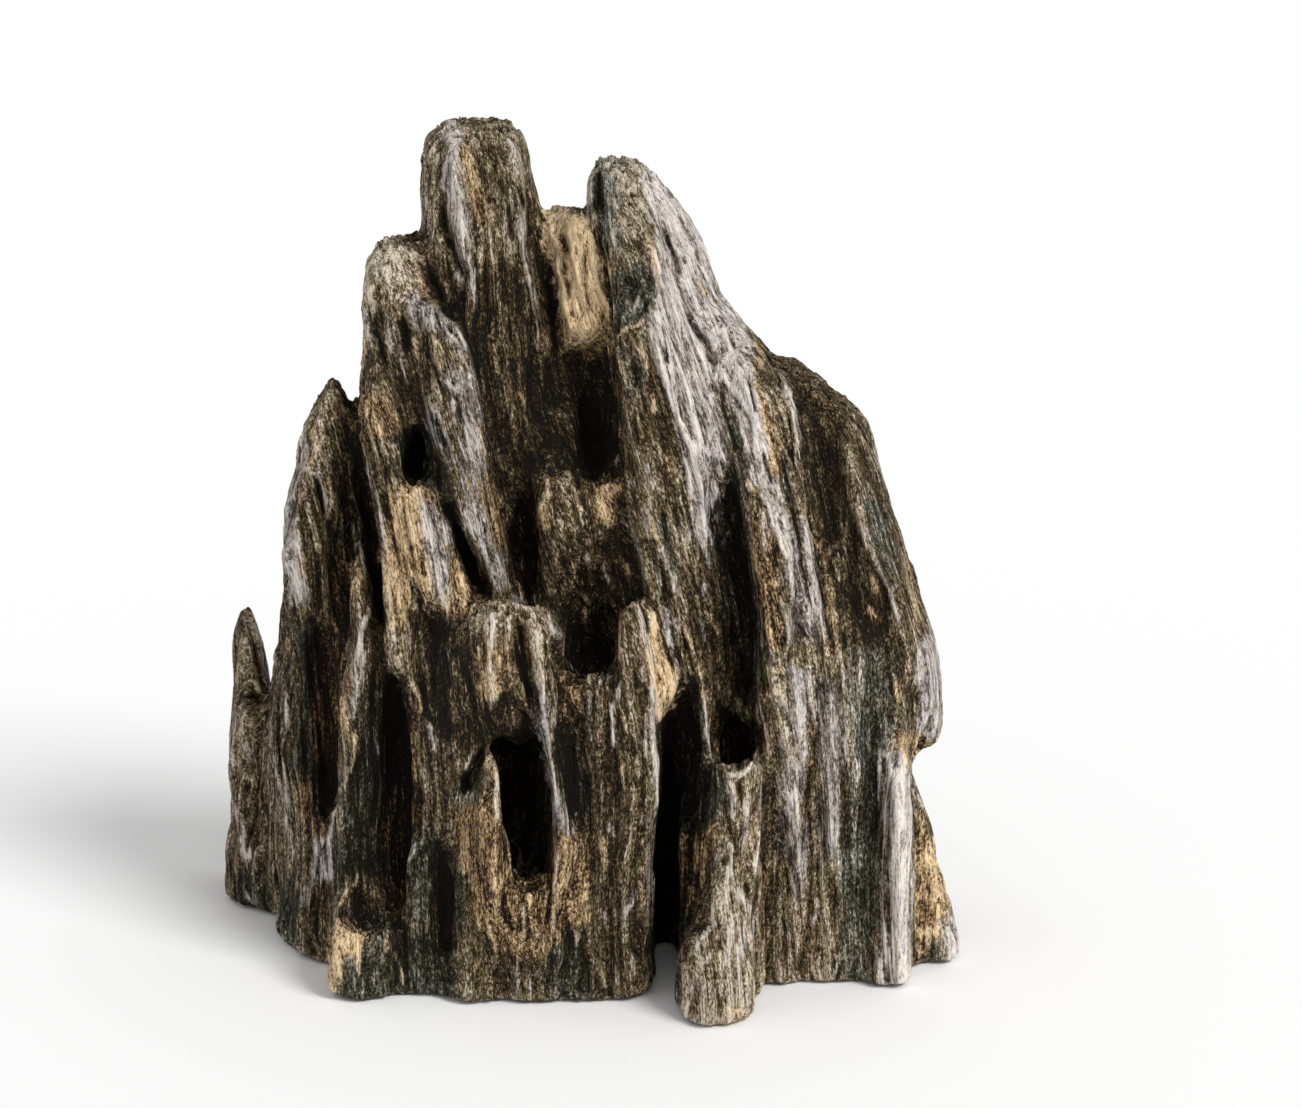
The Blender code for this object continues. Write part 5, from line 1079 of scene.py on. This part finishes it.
def line_height(across, up, wide, places):
    """How near the points lie to a drawn line: 1 on it and 0 at its half width, thin at its ends."""
    near = in_box(across, up, places, wide)
    steps = np.diff(places, axis=0)
    lengths = np.hypot(steps[:, 0], steps[:, 1])
    whole = lengths.sum()
    best = np.full(len(near), np.inf)
    along = np.zeros(len(near))
    done = 0.0
    for start, step, length in zip(places[:-1], steps, lengths):
        share, gap = side_gap(across[near], up[near], start, step)
        closer = gap < best
        best = np.where(closer, gap, best)
        along = np.where(closer, done + share * length, along)
        done += length
    to_end = np.minimum(along, whole - along) + LINE_BLUNT * whole
    taper = smooth_step(0.0, LINE_TAPER * whole, to_end)
    wide_here = wide * (LINE_START + (1.0 - LINE_START) * taper)
    return near, np.clip(1.0 - best / wide_here, 0.0, 1.0) * taper


def depth_inside(across, up, outline, soft):
    """Points in or near an outline, and how far inside it each lies, less than 0 outside."""
    near = in_box(across, up, outline, soft)
    x = across[near]
    y = up[near]
    gap = np.full(len(near), np.inf)
    inside = np.zeros(len(near), bool)
    for start, end in zip(outline, np.roll(outline, -1, axis=0)):
        step = end - start
        gap = np.minimum(gap, side_gap(x, y, start, step)[1])
        if step[1] != 0.0:
            level = (start[1] > y) != (end[1] > y)
            inside ^= level & (x < start[0] + (y - start[1]) * step[0] / step[1])
    return near, np.where(inside, gap, -gap)


def lay_tint(masks, tint, near, share):
    """Lays one tint over the others at some of the points."""
    for mask in masks.values():
        mask[near] *= 1.0 - share
    if tint in TINTS:
        masks[tint][near] += TINT_SHARE * share


def drawing(points, grain):
    """The drawn areas and lines at the points: rise in millimetres, tone, and a mask for each tint. The
    tone holds painted shade and painted highlights as well as the wood's own colour.
    """
    across, up = [
        waves(grain, WANDERS, seed, places) for seed, places in zip(WANDER_SEEDS, layout(points))]
    fringe = waves(grain, FRINGES, FRINGE_SEED)
    mean, varies, least, most = LINE_INK
    ink = np.clip(mean + varies * soft_noise(grain / LINE_GAPS, INK_SEED), least, most)
    rise = np.zeros(len(points))
    tone = np.zeros(len(points))
    masks = {name: np.zeros(len(points)) for name in TINTS}
    for tint, value, soft, places in PATCHES:
        outline = np.array(places, float).reshape(-1, 2)
        near, gap = depth_inside(across, up, outline, soft + FRINGE_REACH)
        share = smooth_step(-soft, soft, gap + fringe[near])
        tone[near] = tone[near] * (1.0 - share) + value * share
        lay_tint(masks, tint, near, share)
    for tint, value, high, wide, places in STROKES:
        near, share = line_height(across, up, wide, np.array(places, float).reshape(-1, 2))
        share = share ** LINE_SHARP
        rise[near] += high * share
        share = share * ink[near]
        tone[near] += value * share
        if tint in TINTS:
            lay_tint(masks, tint, near, np.clip(share, 0.0, 1.0))
    return rise, tone, masks


def front_depths(points, seen):
    """How far back the front of the wood lies, averaged over wide cells across and up."""
    cell = np.floor(points[:, [0, 2]] / DEPTH_CELL - DEPTH_LOW).astype(int)
    index = np.ravel_multi_index(np.clip(cell, 0, np.array(DEPTH_COUNTS) - 1).T, DEPTH_COUNTS)
    weight, total = [
        np.bincount(index, values, math.prod(DEPTH_COUNTS)).reshape(DEPTH_COUNTS)
        for values in (seen, seen * points[:, 1])]
    for _ in range(DEPTH_ROUNDS):
        for axis, count in enumerate(DEPTH_COUNTS):
            steps = np.arange(count)
            for sheet in (weight, total):
                ahead = sheet.take(np.minimum(steps + 1, count - 1), axis)
                before = sheet.take(np.maximum(steps - 1, 0), axis)
                sheet[:] = 0.5 * sheet + 0.25 * (ahead + before)
    return total / (weight + TINY)


def front_depth(points, depths):
    """The averaged depth of the front at the points, read smoothly between the cells."""
    place = points[:, [0, 2]] / DEPTH_CELL - DEPTH_LOW - 0.5
    place = np.clip(place, 0.0, np.array(depths.shape) - 1.001)
    home = np.floor(place).astype(int)
    part = place - home
    total = np.zeros(len(points))
    for corner in range(4):
        step = np.array([corner & 1, corner >> 1])
        share = np.where(step, part, 1.0 - part).prod(axis=1)
        at = home + step
        total += depths[at[:, 0], at[:, 1]] * share
    return total


def grain_places(points, depths):
    """The points' places in a frame whose height runs along the fibres."""
    x, y, z = points.T
    left_top = smooth_step(*UPRIGHT_SIDE, x) * np.maximum(z - UPRIGHT_START, 0.0)
    deep = y - smooth_step(*FOLLOW_FROM, y) * (front_depth(points, depths) - FRONT_AT)
    grain = np.stack([x + lean(z) - UPRIGHT_SHARE * left_top, deep, z], axis=1)
    for number, (wide, long, far) in enumerate(SWAYS):
        at = grain / [wide, wide, long]
        for axis, seed in enumerate(SWAY_SEEDS):
            grain[:, axis] += soft_noise(at, seed + number) * far
    return grain


def calm_places(points):
    """How calmly the fibres lie at the points, from 0 to 1."""
    across, up = layout(points)
    total = np.zeros(len(points))
    for strong, x, y, wide, high in CALM_WASHES:
        gap = ((across - x) / wide) ** 2 + ((up - y) / high) ** 2
        total = np.maximum(total, strong * np.exp(-CALM_FADE * gap))
    return total


def fibre_relief(grain, calm):
    """Height of the bundles of fibres at places along the grain, their cracks and their tone."""
    total = np.zeros(len(grain))
    crack = np.zeros(len(grain))
    tone = np.zeros(len(grain))
    for number, (wide, long, step, cleft, share, settles) in enumerate(BUNDLES):
        gap, bundle = fibres(grain / [wide, wide, long], BUNDLE_SEED + BUNDLE_SEED_STEP * number)
        inside = smooth_step(0.0, BUNDLE_EDGE, gap)
        still = 1.0 - settles * calm
        cells = [OPENS_CELL[0] * wide, OPENS_CELL[0] * wide, OPENS_CELL[1] * long]
        opens = smooth_step(*OPENS, soft_noise(grain / cells, number))
        split = (1.0 - smooth_step(0.0, BUNDLE_CRACK, gap)) * opens * still
        total += step * bundle * inside * still - cleft * split
        crack = np.maximum(crack, share * split)
        tone += share * bundle * inside
    return total, crack, tone


def sculpt(obj, wood):
    """Raises the drawn lines and the fibres' relief on the skin. Gives the depths of its front."""
    mesh = obj.data
    points = get_points(mesh)
    normals = get_normals(mesh)
    seen = averaged(get_edges(mesh), seen_from_front(mesh, points, normals), SEEN_ROUNDS)
    calm = calm_places(points) * smooth_step(*FRONT_FROM, points[:, 1])
    depths = front_depths(points, seen)
    grain = grain_places(points, depths)
    relief = fibre_relief(grain, calm)[0] * wood.flutes
    relief = waves(grain, DENTS, DENT_SEED, relief)
    top = smooth_step(*TOP_SLOPES, normals[:, 2])
    moved = points + normals * LEVEL * (relief * (1.0 - TOP_CALM * top))[:, None]
    moved += to_eye(points) * (drawing(points, grain)[0] * seen)[:, None]
    ends = sum(
        share * fibres(grain / [wide, wide, END_LENGTH], seed)[1] for wide, seed, share in ENDS)
    moved[:, 2] += top * ends * wood.fray / MM
    set_points(mesh, moved)
    return depths


def saw_base(obj):
    """Cuts the skin off flat at height 0, closes it there and drops the crumbs this leaves."""
    bm = bmesh.new()
    bm.from_mesh(obj.data)
    geometry = bm.verts[:] + bm.edges[:] + bm.faces[:]
    bmesh.ops.bisect_plane(
        bm, geom=geometry, plane_co=(0, 0, 0), plane_no=(0, 0, -1), clear_outer=True)
    bmesh.ops.holes_fill(bm, edges=[edge for edge in bm.edges if edge.is_boundary])
    bmesh.ops.triangulate(bm, faces=bm.faces)
    waiting = [max(bm.verts, key=lambda vertex: vertex.co.z)]
    kept = set(waiting)
    while waiting:
        vertex = waiting.pop()
        for edge in vertex.link_edges:
            other = edge.other_vert(vertex)
            if other not in kept:
                kept.add(other)
                waiting.append(other)
    crumbs = [vertex for vertex in bm.verts if vertex not in kept]
    bmesh.ops.delete(bm, geom=crumbs, context="VERTS")
    bm.to_mesh(obj.data)
    bm.free()


def thin_out(obj, most):
    """Fewer triangles on the far side, so that the whole skin has no more than this many."""
    mesh = obj.data
    points = get_points(mesh)
    turn = (to_eye(points) * get_normals(mesh)).sum(axis=1)
    behind = (
        (turn < BEHIND_TURN) | (points[:, 1] > BEHIND_DEPTH) | (points[:, 2] < BEHIND_HEIGHT))
    group = obj.vertex_groups.new(name="far side")
    group.add(np.nonzero(behind)[0].tolist(), 1.0, "REPLACE")
    group.add(np.nonzero(~behind)[0].tolist(), FRONT_GROUP, "REPLACE")
    thin = obj.modifiers.new("fewer triangles", "DECIMATE")
    thin.ratio = most / len(mesh.polygons)
    thin.vertex_group = group.name
    thin.vertex_group_factor = FRONT_WORTH
    bake(obj)
    obj.vertex_groups.clear()


def shelter(mesh, points, normals):
    """How much of the open sky over each point other wood hides, from 0 to 1."""
    cast = skin_tree(mesh).ray_cast
    turn = math.pi * (3.0 - math.sqrt(5.0))
    hidden = np.zeros(len(points))
    side = np.cross(normals, SKY_SLANT)
    side /= np.linalg.norm(side, axis=1)[:, None] + TINY
    other = np.cross(normals, side)
    starts = ((points + normals * SKY_LIFT) * MM).tolist()
    for number in range(SKY_RAYS):
        height = 1.0 - (number + 0.5) / SKY_RAYS
        ring = math.sqrt(1.0 - height * height)
        x, y = ring * math.cos(turn * number), ring * math.sin(turn * number)
        ways = (side * x + other * y + normals * height).tolist()
        for index, (start, way) in enumerate(zip(starts, ways)):
            if cast(start, way, SKY_REACH * MM)[0] is not None:
                hidden[index] += 1.0
    return hidden / SKY_RAYS


def back_finish(grain):
    """Streaks of pale and tan wood for the sides and back, which aren't drawn: tone and masks."""
    masks = {
        name: smooth_step(
            low, high, soft_noise(grain / [wide, wide, long], BACK_TINT_SEED + number))
        for number, (name, (wide, long, low, high)) in enumerate(BACK_TINTS.items())}
    return waves(grain, BACK_STREAKS, BACK_SEED, BACK_TONE), masks


def store(mesh, name, values):
    """Stores a number or a vector for each point of the mesh."""
    kind, field = ("FLOAT", "value") if values.ndim == 1 else ("FLOAT_VECTOR", "vector")
    layer = mesh.attributes.new(name, kind, "POINT")
    layer.data.foreach_set(field, values.astype(np.float32).ravel())


def record_finish(obj, depths):
    """Writes what the wood's finish needs to know at each point into the mesh."""
    mesh = obj.data
    points = get_points(mesh)
    normals = get_normals(mesh)
    edges = get_edges(mesh)
    facing = smooth_step(*FACING, (to_eye(points) * normals).sum(axis=1))
    front = smooth_step(*FRONT_FROM, points[:, 1]) * facing
    grain = grain_places(points, depths)
    crack, bundle = fibre_relief(grain, calm_places(points) * front)[1:]
    tone, masks = drawing(points, grain)[1:]
    back_tone, back_masks = back_finish(grain)
    # Painted highlight on crests and painted shade in troughs, from how far the skin stands out.
    bulge = np.zeros(len(points))
    for rounds, scale in BULGES:
        flat = averaged(edges, points, rounds)
        out = ((points - flat) * normals).sum(axis=1) / scale
        bulge += np.clip(out, -BULGE_LIMIT, BULGE_LIMIT) / len(BULGES)
    # Painted shade: the colour darkens where other wood hides the sky.
    hidden = averaged(edges, shelter(mesh, points, normals), SKY_ROUNDS)
    finish = {
        "grain": grain, "bulge": bulge, "crack": crack, "bundle": bundle, "hidden": hidden,
        "tone": tone * front + back_tone * (1.0 - front)}
    for name in TINTS:
        finish[name] = masks[name] * front + back_masks[name] * (1.0 - front)
    for name, values in finish.items():
        store(mesh, name, values)


def carve_block(wood):
    """The wood's sculpted skin, made from the frame's block."""
    bm = bmesh.new()
    bm.from_mesh(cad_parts["agarwood"].data)
    bmesh.ops.remove_doubles(bm, verts=bm.verts, dist=SAME * MM)
    for vertex in bm.verts:
        if vertex.co.z < SAME * MM:
            vertex.co.z = BASE_DOWN * MM
    mesh = bpy.data.meshes.new("agarwood_block")
    bm.to_mesh(mesh)
    bm.free()
    obj = bpy.data.objects.new("agarwood_block", mesh)
    bpy.context.scene.collection.objects.link(obj)
    remesh(obj, COAT_CELL)
    set_points(obj.data, averaged(get_edges(obj.data), get_points(obj.data), COAT_ROUNDS))
    points = get_points(obj.data)
    points[:, 0] += lean(points[:, 2])
    points[:, 2] *= SQUASH
    set_points(obj.data, points)
    remesh(obj, wood.skin_cell / MM)
    points = get_points(obj.data)
    points[:, 2] /= SQUASH
    points[:, 0] -= lean(points[:, 2])
    set_points(obj.data, points)
    depths = sculpt(obj, wood)
    saw_base(obj)
    if len(obj.data.polygons) > wood.triangles:
        thin_out(obj, wood.triangles)
    for polygon in obj.data.polygons:
        polygon.use_smooth = True
    record_finish(obj, depths)
    return obj


def new_node(tree, kind, **values):
    """A new shader node with some of its settings."""
    node = tree.nodes.new(kind)
    for name, value in values.items():
        setattr(node, name, value)
    return node


def feed(tree, node, values):
    """Gives a node's sockets, by name or place, the other sockets or numbers that they take."""
    for name, value in values.items():
        if isinstance(value, bpy.types.NodeSocket):
            tree.links.new(value, node.inputs[name])
        else:
            node.inputs[name].default_value = value
    return node


def math_node(tree, operation, *values):
    """A math node on sockets or numbers, and its result."""
    node = new_node(tree, "ShaderNodeMath", operation=operation)
    return feed(tree, node, dict(enumerate(values))).outputs[0]


def grain_mapping(tree, vector, across, along, offset=0.0):
    """Places along the grain, scaled so that one unit is this many millimetres."""
    node = feed(tree, new_node(tree, "ShaderNodeMapping"), {
        "Location": [offset * share for share in SHIFT],
        "Scale": (1.0 / across, 1.0 / across, 1.0 / along), "Vector": vector})
    return node.outputs[0]


def grain_noise(tree, vector, across, along, detail, rough, offset):
    """Noise stretched along the fibres; across and along are its size in millimetres."""
    return feed(tree, new_node(tree, "ShaderNodeTexNoise"), {
        "Scale": 1.0, "Detail": detail, "Roughness": rough,
        "Vector": grain_mapping(tree, vector, across, along, offset)})


def step_mask(tree, value, low, high):
    """A soft step from 0 to 1 between two values."""
    node = new_node(tree, "ShaderNodeMapRange", interpolation_type="SMOOTHSTEP")
    feed(tree, node, {"From Min": low, "From Max": high, "Value": value})
    return node.outputs[0]


def threads(tree, vector):
    """Single fibres: how near a point is to the crack beside its fibre, and the fibre's own number."""
    place = {"Scale": 1.0, "Vector": grain_mapping(tree, vector, *THREAD)}
    edge = feed(tree, new_node(tree, "ShaderNodeTexVoronoi", feature="DISTANCE_TO_EDGE"), place)
    cell = feed(tree, new_node(tree, "ShaderNodeTexVoronoi", feature="F1"), place)
    split = feed(tree, new_node(tree, "ShaderNodeSeparateColor"), {0: cell.outputs["Color"]})
    return step_mask(tree, edge.outputs["Distance"], THREAD_CRACK, 0.0), split.outputs[0]


def ramp(tree, value, stops):
    """A colour ramp over a value."""
    node = feed(tree, new_node(tree, "ShaderNodeValToRGB"), {"Fac": value})
    elements = node.color_ramp.elements
    while len(elements) < len(stops):
        elements.new(0.5)
    for element, (place, colour) in zip(elements, stops):
        element.position = place
        element.color = tuple(colour) + (1.0,)
    return node.outputs["Color"]


def mix(tree, share, first, second):
    """A mix of two colours."""
    node = new_node(tree, "ShaderNodeMix", data_type="RGBA")
    feed(tree, node, {"Factor": share, MIX_COLOURS[0]: first, MIX_COLOURS[1]: second})
    return node.outputs[MIX_RESULT]


def wood_material(wood):
    """Weathered resin wood, grey and tan where it has dried, with painted shade in its hollows and
    troughs and painted highlights on its crests.
    """
    material = bpy.data.materials.new("weathered agarwood")
    material.use_nodes = True
    tree = material.node_tree
    shader = tree.nodes["Principled BSDF"]

    def stored(name, output="Fac"):
        return new_node(tree, "ShaderNodeAttribute", attribute_name=name).outputs[output]

    grain = stored("grain", "Vector")
    bend = grain_noise(tree, grain, *BEND_NOISE).outputs["Color"]
    centred = new_node(tree, "ShaderNodeVectorMath", operation="SUBTRACT")
    feed(tree, centred, {0: bend, 1: (0.5, 0.5, 0.5)})
    bent = new_node(tree, "ShaderNodeVectorMath", operation="MULTIPLY_ADD")
    feed(tree, bent, {0: centred.outputs[0], 1: BEND, 2: grain})
    parts = {name: stored(name) for name in ("bundle", "crack", "bulge", "hidden")}
    parts["fissure"], parts["thread"] = threads(tree, bent.outputs[0])
    for name, values in NOISES.items():
        vector = grain if name in STRAIGHT else bent.outputs[0]
        parts[name] = grain_noise(tree, vector, *values).outputs["Fac"]
        if name in STEPS:
            parts[name] = step_mask(tree, parts[name], *STEPS[name])
    for name in ("grit", "streak"):
        parts[name] = math_node(tree, "SUBTRACT", parts[name], 0.5)
    bleached = stored("pale")

    def summed(shares, total=None):
        for name, share, *when_bleached in shares:
            if when_bleached:
                share = math_node(tree, "MULTIPLY_ADD", bleached, when_bleached[0], share)
            if total is None:
                total = math_node(tree, "MULTIPLY", parts[name], share)
            else:
                total = math_node(tree, "MULTIPLY_ADD", parts[name], share, total)
        return total

    tone = math_node(tree, "SUBTRACT", summed(GRAIN_TONES), TONE_LEVEL)
    patchy = math_node(tree, "MULTIPLY_ADD", parts["patchy"], *PATCHY)
    # The stored tone holds the drawn painted shade and highlights along with the wood's colour; the
    # shape tones add painted shade in hollows and troughs and a painted highlight on crests.
    tone = math_node(tree, "MULTIPLY_ADD", stored("tone"), patchy, summed(SHAPE_TONES, tone))
    colours = {
        name: ramp(tree, tone, [(place, getattr(wood, shade + "_colour")) for place, shade in stops])
        for name, stops in RAMPS.items()}
    colour = mix(tree, parts["hue"], colours["olive"], colours["plum"])
    for name, operation, first, second in (
            ("pale", "MULTIPLY", bleached, patchy),
            ("tan", "MAXIMUM", stored("tan"), parts["rust"]),
            ("green", "MULTIPLY", stored("green"), patchy)):
        colour = mix(tree, math_node(tree, operation, first, second), colour, colours[name])
    bump = feed(tree, new_node(tree, "ShaderNodeBump"), {
        "Strength": 1.0, "Distance": MM, "Height": summed(RELIEF)})
    feed(tree, shader, {
        "Base Color": colour, "Specular IOR Level": SHINE, "Normal": bump.outputs["Normal"],
        "Roughness": math_node(tree, "MULTIPLY_ADD", parts["fine"], *ROUGHNESS)})
    return material


def make_studio(studio):
    """A pale floor, a soft white sky, a key light from the upper right, and the camera."""
    scene = bpy.context.scene
    bm = bmesh.new()
    bmesh.ops.create_grid(bm, x_segments=2, y_segments=2, size=FLOOR_HALF)
    mesh = bpy.data.meshes.new("studio_floor")
    bm.to_mesh(mesh)
    bm.free()
    floor = bpy.data.objects.new("studio_floor", mesh)
    scene.collection.objects.link(floor)
    paint = bpy.data.materials.new("pale floor")
    paint.use_nodes = True
    feed(paint.node_tree, paint.node_tree.nodes["Principled BSDF"], {
        "Base Color": tuple(studio.floor_colour) + (1.0,), "Roughness": FLOOR_ROUGHNESS,
        "Specular IOR Level": 0.0})
    mesh.materials.append(paint)

    world = bpy.data.worlds.new("white studio")
    world.use_nodes = True
    feed(world.node_tree, world.node_tree.nodes["Background"], {
        "Color": (1.0, 1.0, 1.0, 1.0), "Strength": studio.sky})
    scene.world = world
    scene.view_settings.view_transform = "Standard"

    light = bpy.data.lights.new("key", "SUN")
    light.energy = studio.key_power
    light.angle = math.radians(KEY_ANGLE)
    lamp = bpy.data.objects.new("key", light)
    lamp.rotation_euler = Vector(KEY_FROM).to_track_quat("Z", "Y").to_euler()
    scene.collection.objects.link(lamp)

    camera = bpy.data.cameras.new("camera")
    camera.sensor_width = SENSOR
    camera.lens = SENSOR * VIEW_DISTANCE / PICTURE_WIDTH
    camera.clip_start, camera.clip_end = CLIP
    viewer = bpy.data.objects.new("camera", camera)
    viewer.location = Vector(EYE * MM)
    viewer.rotation_euler = (math.pi / 2 - VIEW_TILT, 0.0, 0.0)
    scene.collection.objects.link(viewer)
    scene.camera = viewer


def colour_choice(name, description, default):
    """A colour that the user may change."""
    return FloatVectorProperty(
        name=name, description=description, subtype="COLOR", size=3, default=default,
        min=0.0, max=1.0)


class AgarwoodWood(bpy.types.PropertyGroup):
    """Sizes and finish of the wood."""

    skin_cell: FloatProperty(
        name="Skin cell", description="Width of the faces across the fibres",
        default=0.27 * MM, min=0.2 * MM, max=2 * MM, unit="LENGTH", precision=5)
    triangles: IntProperty(
        name="Triangles", description="The most triangles that the skin keeps",
        default=196000, min=10000, max=199000)
    flutes: FloatProperty(
        name="Flutes", description="How strongly the bundles of fibres stand out", default=1.0,
        min=0.0, max=2.0)
    fray: FloatProperty(
        name="Fray", description="How ragged the broken tips are",
        default=0.45 * MM, min=0.0, max=3 * MM, unit="LENGTH", precision=5)
    # Deep is the ramps' darkest colour, reached mostly where painted shade darkens the hollows and
    # cracks.
    deep_colour: colour_choice("Deep", "Colour at the bottom of cracks", (0.006, 0.004, 0.0015))
    brown_colour: colour_choice("Brown", "Dark resin wood", (0.046, 0.034, 0.012))
    olive_colour: colour_choice("Olive", "Dull old surface", (0.128, 0.104, 0.043))
    umber_colour: colour_choice("Umber", "Dark warm wood", (0.057, 0.032, 0.014))
    plum_colour: colour_choice("Plum", "Warm old surface", (0.147, 0.099, 0.055))
    grey_colour: colour_choice("Grey", "Dry fibres", (0.392, 0.312, 0.190))
    rose_colour: colour_choice("Rose", "Dry warm fibres", (0.41, 0.312, 0.238))
    # Cream is the ramps' lightest colour; crests reach it partly through painted highlight.
    cream_colour: colour_choice("Cream", "Worn crests", (0.78, 0.69, 0.55))
    slate_colour: colour_choice("Slate", "Bleached faces, dark", (0.158, 0.134, 0.111))
    lilac_colour: colour_choice("Lilac", "Bleached faces, light", (0.58, 0.53, 0.50))
    chalk_colour: colour_choice("Chalk", "Bleached faces, lightest", (0.84, 0.78, 0.71))
    russet_colour: colour_choice("Russet", "Tan patches, dark", (0.12, 0.064, 0.026))
    tan_colour: colour_choice("Tan", "Tan patches, light", (0.50, 0.345, 0.18))
    # Honey is bright enough to lift the tan wall where the right peak shades it, which is painted light
    # there.
    honey_colour: colour_choice("Honey", "Tan patches, lightest", (0.98, 0.72, 0.41))
    # The green ramp's colours are the colours of shade in the hollows: where the green tint lies in
    # holes and gaps they are painted shade, and elsewhere they are greenish wood.
    moss_colour: colour_choice("Moss", "Hollows, dark", (0.032, 0.034, 0.018))
    stone_colour: colour_choice("Stone", "Hollows, middling", (0.098, 0.100, 0.074))
    ash_colour: colour_choice("Ash", "Hollows, light", (0.31, 0.30, 0.255))


class AgarwoodStudio(bpy.types.PropertyGroup):
    """Floor and lights of the studio."""

    floor_colour: colour_choice("Floor", "Colour of the floor", (0.92, 0.92, 0.92))
    key_power: FloatProperty(
        name="Key light", description="Strength of the key light", default=2.1, min=0.0)
    sky: FloatProperty(
        name="Sky", description="Brightness of the white surroundings", default=0.62, min=0.0)


class AGARWOOD_OT_block(bpy.types.Operator):
    """Carve the block of wood"""

    bl_idname = "agarwood.block"
    bl_label = "Carve the wood"

    def execute(self, context):
        obj = carve_block(context.scene.agarwood_wood)
        obj.data.materials.append(wood_material(context.scene.agarwood_wood))
        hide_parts("agarwood")
        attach(obj, "root")
        return {"FINISHED"}


class AGARWOOD_OT_studio(bpy.types.Operator):
    """Set up the floor, the lights and the camera"""

    bl_idname = "agarwood.studio"
    bl_label = "Set up the studio"

    def execute(self, context):
        make_studio(context.scene.agarwood_studio)
        return {"FINISHED"}


class AGARWOOD_PT_panel(bpy.types.Panel):
    """Sizes and finish of the wood and its studio"""

    bl_label = "Agarwood"
    bl_idname = "AGARWOOD_PT_panel"
    bl_space_type = "VIEW_3D"
    bl_region_type = "UI"
    bl_category = "Agarwood"

    def draw(self, context):
        for group in (context.scene.agarwood_wood, context.scene.agarwood_studio):
            for name in group.bl_rna.properties.keys():
                if name not in ("rna_type", "name"):
                    self.layout.prop(group, name)
        for operator in (AGARWOOD_OT_block, AGARWOOD_OT_studio):
            self.layout.operator(operator.bl_idname)


CLASSES = (AgarwoodWood, AgarwoodStudio, AGARWOOD_OT_block, AGARWOOD_OT_studio,
           AGARWOOD_PT_panel)


def register():
    for cls in CLASSES:
        bpy.utils.register_class(cls)
    bpy.types.Scene.agarwood_wood = PointerProperty(type=AgarwoodWood)
    bpy.types.Scene.agarwood_studio = PointerProperty(type=AgarwoodStudio)


def unregister():
    del bpy.types.Scene.agarwood_studio
    del bpy.types.Scene.agarwood_wood
    for cls in reversed(CLASSES):
        bpy.utils.unregister_class(cls)


def main():
    register()
    bpy.ops.agarwood.block()
    bpy.ops.agarwood.studio()


if __name__ == "__main__":
    main()
